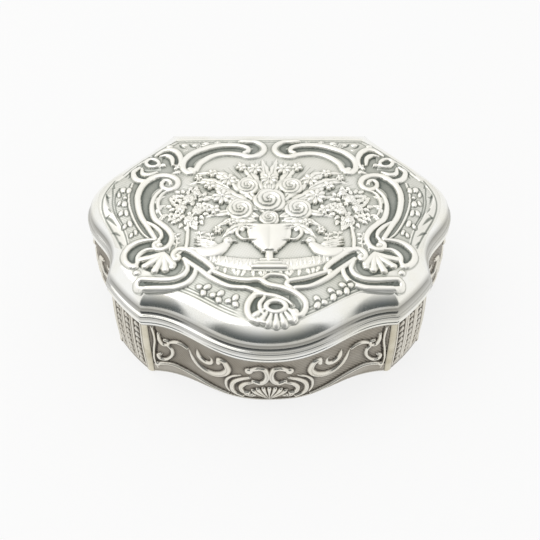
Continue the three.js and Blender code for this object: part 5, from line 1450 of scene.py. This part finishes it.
# repeated motifs set on guide points that face out of the surface
def motifTree():
    tree = treeWith("motifRow", [("Guides", "NodeSocketGeometry"), ("Motif", "NodeSocketObject"),
                                 ("Finish", "NodeSocketMaterial")])
    given = addNode(tree, "NodeGroupInput").outputs
    motif = addNode(tree, "GeometryNodeObjectInfo", {"Object": given["Motif"]}).outputs["Geometry"]
    facing = addNode(tree, "GeometryNodeInputNamedAttribute", {"Name": "facing"}, data_type="FLOAT_VECTOR")
    heading = addNode(tree, "GeometryNodeInputNamedAttribute", {"Name": "heading"}, data_type="FLOAT_VECTOR")
    size = addNode(tree, "GeometryNodeInputNamedAttribute", {"Name": "size"}, data_type="FLOAT")
    upright = addNode(tree, "FunctionNodeAlignRotationToVector", {"Vector": facing}, axis="Z")
    turned = addNode(tree, "FunctionNodeAlignRotationToVector", {
        "Rotation": upright, "Vector": heading}, axis="X", pivot_axis="Z")
    placed = addNode(tree, "GeometryNodeInstanceOnPoints", {
        "Points": given["Guides"], "Instance": motif, "Rotation": turned, "Scale": size})
    real = addNode(tree, "GeometryNodeRealizeInstances", {0: placed})
    done = addNode(tree, "GeometryNodeSetMaterial", {"Geometry": real, "Material": given["Finish"]})
    addNode(tree, "NodeGroupOutput", {0: done})
    return tree


def guideMesh(name, guides):  # guides are place, facing, heading and size
    mesh = bpy.data.meshes.new(name + "Guides")
    mesh.from_pydata([tuple(np.array(place) * mm) for place, _, _, _ in guides], [], [])
    for label, column in (("facing", 1), ("heading", 2)):
        values = np.array([guide[column] for guide in guides], np.float32)
        mesh.attributes.new(label, "FLOAT_VECTOR", "POINT").data.foreach_set("vector", values.ravel())
    mesh.attributes.new("size", "FLOAT", "POINT").data.foreach_set("value", [guide[3] for guide in guides])
    return mesh


def motifRow(name, motif, guides, finish, body, nodes=()):
    helper = helperObject(name + "Motif", motif)
    mesh = grown(name, guideMesh(name, guides), motifRows, {"Motif": helper, "Finish": finish})
    bpy.data.objects.remove(helper)
    return newPiece(name, mesh, [finish], body, list(nodes))


def leafMotif(length, half, rise, lobes):
    along, across = np.meshgrid(np.linspace(0, 1, 10), np.linspace(-1, 1, 7))
    edge, vein = np.abs(across) > 0.9, np.abs(across) < 0.1
    shape = np.sin(np.pi * np.clip(along, 0.03, 0.985) ** 0.75)
    shape = shape * (0.82 + 0.18 * np.abs(np.sin(np.pi * lobes * along)))
    z = rise * (1 - across ** 2) * np.sqrt(shape) * (1 - 0.4 * vein) - 0.06
    points = np.stack([length * along, half * shape * across, z], -1).reshape(-1, 3)
    mesh = meshFrom("leafMotif", points, [gridQuads(along.shape).reshape(-1, 4)])
    setPatina(mesh, np.where(edge, 0.75, np.where(vein, 0.5, 0.05)))
    return mesh


blossomShape = {  # height and tone from the middle out to the petals' tips
    "rings": [0.12, 0.26, 0.34, 0.7, 0.92, 1.0], "heights": [1.1, 0.85, 0.45, 0.85, 0.7, -0.15],
    "tones": [0.05, 0.05, 0.7, 0.05, 0.527, 0.7], "knob": 1.15,
}


def blossomMotif(radius, petals, rise):
    around = np.linspace(0, 2 * np.pi, 6 * petals, endpoint=False)
    angle, ring = np.meshgrid(around, blossomShape["rings"])
    petal = np.abs(np.cos(petals * angle / 2)) ** 0.5
    far = radius * (0.5 + 0.5 * petal) * ring
    z = rise * np.array(blossomShape["heights"])[:, None] * (0.5 + 0.5 * petal)
    points = np.stack([far * np.cos(angle), far * np.sin(angle), z], -1).reshape(-1, 3)
    index = np.arange(angle.size).reshape(angle.shape)
    knob = np.stack([index[0], np.roll(index[0], -1), np.full(len(around), angle.size)], 1)
    quads = gridQuads(angle.shape, (0, 1)).reshape(-1, 4)[:, [0, 3, 2, 1]]
    mesh = meshFrom("blossomMotif", np.append(points, [[0, 0, blossomShape["knob"] * rise]], 0),
                    [quads, knob])
    setPatina(mesh, np.append(np.repeat(blossomShape["tones"], len(around)), 0.0))
    return mesh


def huskMotif(length, half, rise):  # a bellflower husk: a middle leaf between two that turn out
    along, across = np.meshgrid(np.linspace(0, 1, 7), np.linspace(-1, 1, 5))
    shape = np.sin(np.pi * np.clip(along, 0.05, 0.97) ** 0.8)
    quads = gridQuads(along.shape).reshape(-1, 4)
    points, faces = [], []
    for turn, share in ((24, 0.9), (-24, 0.9), (0, 1.0)):
        z = rise * share * (1 - across ** 2) * (0.4 + 0.6 * shape) - 0.05
        a = math.radians(turn) * along
        x, y = share * length * along, half * shape * across * 0.6
        faces.append(quads + len(points) * along.size)
        leaf = np.stack([x * np.cos(a) - y * np.sin(a), x * np.sin(a) + y * np.cos(a), z], -1)
        points.append(leaf.reshape(-1, 3))
    mesh = meshFrom("huskMotif", np.concatenate(points), faces)
    setPatina(mesh, np.tile(np.where(np.abs(across) > 0.9, 1.0, 0.12).ravel(), len(points)))
    return mesh


motifRows = motifTree()


def onLid(x, y, heading, size):
    return ((x, y, skinAt(x, y)), (0, 0, 1), heading, size)


blossoms = {"radius": 1.15, "petals": 5, "rise": 0.46,
            "spots": [(-17.2, 23.7, 0.8), (-12.6, 24.6, 0.8), (-9.4, 24.7, 0.75)]}  # place and size
blossomGuides = [onLid(side * x, y, (math.cos(3 * y), math.sin(3 * y), 0), size)
                 for x, y, size in blossoms["spots"] for side in (-1, 1)]
motifRow("border_blossoms", blossomMotif(blossoms["radius"], blossoms["petals"], blossoms["rise"]),
         blossomGuides,
         lidSilver, "lid")

sprigs = {"length": 2.5, "half": 0.9, "rise": 0.5, "lobes": 2, "size": 0.62,
          "spots": [(-15.4, 24.4, 190), (-11.0, 24.7, 180), (-19.6, 23.0, 220)]}  # place and heading
sprigGuides = []
for x, y, turn in sprigs["spots"]:
    a = math.radians(turn)
    for side in (1, -1):
        sprigGuides.append(onLid(side * x, y, (side * math.cos(a), math.sin(a), 0), sprigs["size"]))
motifRow("border_sprigs", leafMotif(sprigs["length"], sprigs["half"], sprigs["rise"], sprigs["lobes"]),
         sprigGuides,
         lidSilver, "lid")


def onWall(run, at, height, heading, size):
    stations = wallSheets[run]["stations"]
    k = int(np.argmin(np.abs(stations["at"] - at)))
    out = stations["out"][k]
    spot = stations["spot"][k] - out * wallInset(height, stations["bow"][k])
    return ((spot[0], spot[1], height), (out[0], out[1], 0), heading, size)


husks = {"length": 2.2, "half": 1.0, "rise": 0.62, "columns": (-3.4, 0.0, 3.4), "top": 18.6, "foot": 3.4,
         "pitch": 2.05}
huskGuides = []
for run in ("earRight", "earLeft"):
    for column in husks["columns"]:
        for height in np.arange(husks["top"], husks["foot"], -husks["pitch"]):
            huskGuides.append(onWall(run, column, height, (0, 0, -1), 1.0))
motifRow("ear_husks", huskMotif(husks["length"], husks["half"], husks["rise"]), huskGuides, wallSilver,
         "base")
print("motifs set")

# hinge barrel: five knuckles with eased ends on a row of guide points
hingeSizes = {"z": baseSizes["height"] + lidSizes["parting"] / 2, "length": 47.0, "count": 5, "gap": 0.12,
              "radius": 1.2, "bore": 0.6, "ease": 0.12}


def knuckleMotif(length):
    half, ease, radius = length / 2, hingeSizes["ease"], hingeSizes["radius"]
    end = [(half - ease, radius), (half - 0.3 * ease, radius - 0.3 * ease), (half, radius - ease),
           (half, hingeSizes["bore"])]
    section = [(-x, r) for x, r in end[::-1]] + end
    angles = np.linspace(0, 2 * np.pi, 40, endpoint=False)
    points = np.array([[(x, r * math.cos(a), r * math.sin(a)) for x, r in section] for a in angles])
    mesh = meshFrom("knuckleMotif", points.reshape(-1, 3), [gridQuads(points.shape, (1, 1)).reshape(-1, 4)])
    faceOutwards(mesh)
    mesh.set_sharp_from_angle(angle=math.radians(40))
    return mesh


knuckleLength = (hingeSizes["length"] - (hingeSizes["count"] - 1) * hingeSizes["gap"]) / hingeSizes["count"]
knucklePitch = knuckleLength + hingeSizes["gap"]
firstKnuckle = (knuckleLength - hingeSizes["length"]) / 2
for body, first in (("base", 0), ("lid", 1)):
    numbers = range(first, hingeSizes["count"], 2)
    guides = [((firstKnuckle + n * knucklePitch, hingeY, hingeSizes["z"]), (0, 0, 1), (1, 0, 0), 1.0)
              for n in numbers]
    motifRow(body + "_knuckles", knuckleMotif(knuckleLength), guides, mouldingSilver, body,
             [f"{body}_knuckle_{n + 1}" for n in numbers])
for node in ("hinge_pin", "base_hinge_bearer", "lid_hinge_bearer"):
    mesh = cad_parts[node].data
    mesh.materials.clear()
    mesh.materials.append(mouldingSilver)
bpy.data.objects.remove(ringGuide)
print("hinge made")


# stage: a pale paper floor that keeps the shadow, and a soft studio round it
floorLook = {"light": "#F4F4F3", "shade": "#F1F1F0", "fibre": 2.0, "white": 0.78, "reach": 3000}


def paleFloor():
    material, tree = newMaterial("floor_pale_paper")
    ray = addNode(tree, "ShaderNodeLightPath").outputs
    seen = addNode(tree, "ShaderNodeMath", {0: ray["Is Camera Ray"], 1: ray["Is Glossy Ray"]},
                   operation="MAXIMUM")
    seenToo = addNode(tree, "ShaderNodeMath", {0: seen, 1: ray["Is Transmission Ray"]}, operation="MAXIMUM")
    place = addNode(tree, "ShaderNodeTexCoord").outputs["Object"]
    fibre = addNode(tree, "ShaderNodeTexNoise", {
        "Vector": place, "Scale": 1 / (floorLook["fibre"] * mm), "Detail": 2.0})
    shade = addNode(tree, "ShaderNodeMixRGB", {
        "Fac": fibre, "Color1": linearColour(floorLook["light"]), "Color2": linearColour(floorLook["shade"])})
    paper = addNode(tree, "ShaderNodeBsdfDiffuse", {"Color": shade})
    white = addNode(tree, "ShaderNodeEmission", {"Color": (1, 1, 1, 1), "Strength": 1.0})
    share = addNode(tree, "ShaderNodeMath", {0: seenToo, 1: floorLook["white"]}, operation="MULTIPLY")
    mixed = addNode(tree, "ShaderNodeMixShader", {0: share, 1: paper, 2: white})
    addNode(tree, "ShaderNodeOutputMaterial", {"Surface": mixed})
    corners = [(x * floorLook["reach"], y * floorLook["reach"], 0)
               for x, y in ((-1, -1), (1, -1), (1, 1), (-1, 1))]
    mesh = meshFrom("floor", corners, [np.array([[0, 1, 2, 3]])])
    mesh.materials.append(material)
    floor = bpy.data.objects.new("floor", mesh)
    scene.collection.objects.link(floor)


# what the metal mirrors: white all round but for a grey room behind the camera, up to the bright sky
studio = {"room": "#5C6163", "roomFrom": -0.34, "roomTo": -0.06, "sideFrom": 1.08, "sideTo": 1.4,
          "upFrom": 0.1, "upTo": 0.96, "upBend": 2.4, "fill": 0.8}


def softStudio():
    world = bpy.data.worlds.new("soft_studio")
    scene.world = world
    world.use_nodes = True
    tree = world.node_tree
    tree.nodes.clear()
    ray = addNode(tree, "ShaderNodeLightPath").outputs
    towards = addNode(tree, "ShaderNodeTexCoord").outputs["Generated"]
    part = addNode(tree, "ShaderNodeSeparateXYZ", {0: towards}).outputs
    behind = addNode(tree, "ShaderNodeMapRange", {
        "Value": part["Y"], "From Min": studio["roomFrom"], "From Max": studio["roomTo"]},
        interpolation_type="SMOOTHSTEP")
    slant = addNode(tree, "ShaderNodeMath", {0: part["X"], 1: part["Y"]}, operation="DIVIDE")
    aside = addNode(tree, "ShaderNodeMath", {0: slant}, operation="ABSOLUTE")
    beside = addNode(tree, "ShaderNodeMapRange", {
        "Value": aside, "From Min": studio["sideFrom"], "From Max": studio["sideTo"]},
        interpolation_type="SMOOTHSTEP")
    lightSide = addNode(tree, "ShaderNodeMath", {0: behind, 1: beside}, operation="MAXIMUM")
    above = addNode(tree, "ShaderNodeMapRange", {
        "Value": part["Z"], "From Min": studio["upFrom"], "From Max": studio["upTo"]})
    sky = addNode(tree, "ShaderNodeMath", {0: above, 1: studio["upBend"]}, operation="POWER")
    lit = addNode(tree, "ShaderNodeMath", {0: lightSide, 1: sky}, operation="MAXIMUM")
    shown = addNode(tree, "ShaderNodeMixRGB", {
        "Fac": lit, "Color1": linearColour(studio["room"]), "Color2": (1, 1, 1, 1)})
    clear = addNode(tree, "ShaderNodeMath", {0: ray["Is Camera Ray"], 1: ray["Is Transmission Ray"]},
                    operation="MAXIMUM")
    backdrop = addNode(tree, "ShaderNodeMixRGB", {"Fac": clear, "Color1": shown, "Color2": (1, 1, 1, 1)})
    seen = addNode(tree, "ShaderNodeMath", {0: clear, 1: ray["Is Glossy Ray"]}, operation="MAXIMUM")
    fill = addNode(tree, "ShaderNodeBackground", {"Color": (1, 1, 1, 1), "Strength": studio["fill"]})
    view = addNode(tree, "ShaderNodeBackground", {"Color": backdrop, "Strength": 1.0})
    mixed = addNode(tree, "ShaderNodeMixShader", {0: seen, 1: fill, 2: view})
    addNode(tree, "ShaderNodeOutputWorld", {"Surface": mixed})


overhead = {"place": (-0.55, 0.05, 1.1), "aim": (0, 0, 0.02), "size": 0.9, "power": 3.0}  # metres and watts


def overheadLamp():
    data = bpy.data.lights.new("overhead_soft", "AREA")
    data.shape, data.size, data.energy = "DISK", overhead["size"], overhead["power"]
    lamp = bpy.data.objects.new("overhead_soft", data)
    scene.collection.objects.link(lamp)
    lamp.location = overhead["place"]
    direction = np.array(overhead["aim"]) - np.array(overhead["place"])
    lamp.rotation_euler = (math.atan2(math.hypot(direction[0], direction[1]), -direction[2]), 0,
                           math.atan2(direction[0], -direction[1]) + math.pi)


paleFloor()
softStudio()
overheadLamp()

cameraSizes = {"place": (0.16, -149.3, 202.23), "tilt": 38.0, "focalPixels": 1002.0, "picture": 540.0,
               "sensor": 36.0}
cameraData = bpy.data.cameras.new("camera")
cameraData.sensor_width = cameraSizes["sensor"]
cameraData.lens = cameraSizes["sensor"] * cameraSizes["focalPixels"] / cameraSizes["picture"]
cameraData.clip_start = 0.01
camera = bpy.data.objects.new("camera", cameraData)
scene.collection.objects.link(camera)
camera.location = [value * mm for value in cameraSizes["place"]]
camera.rotation_euler = (math.radians(cameraSizes["tilt"]), 0, 0)
scene.camera = camera
print("stage lit")
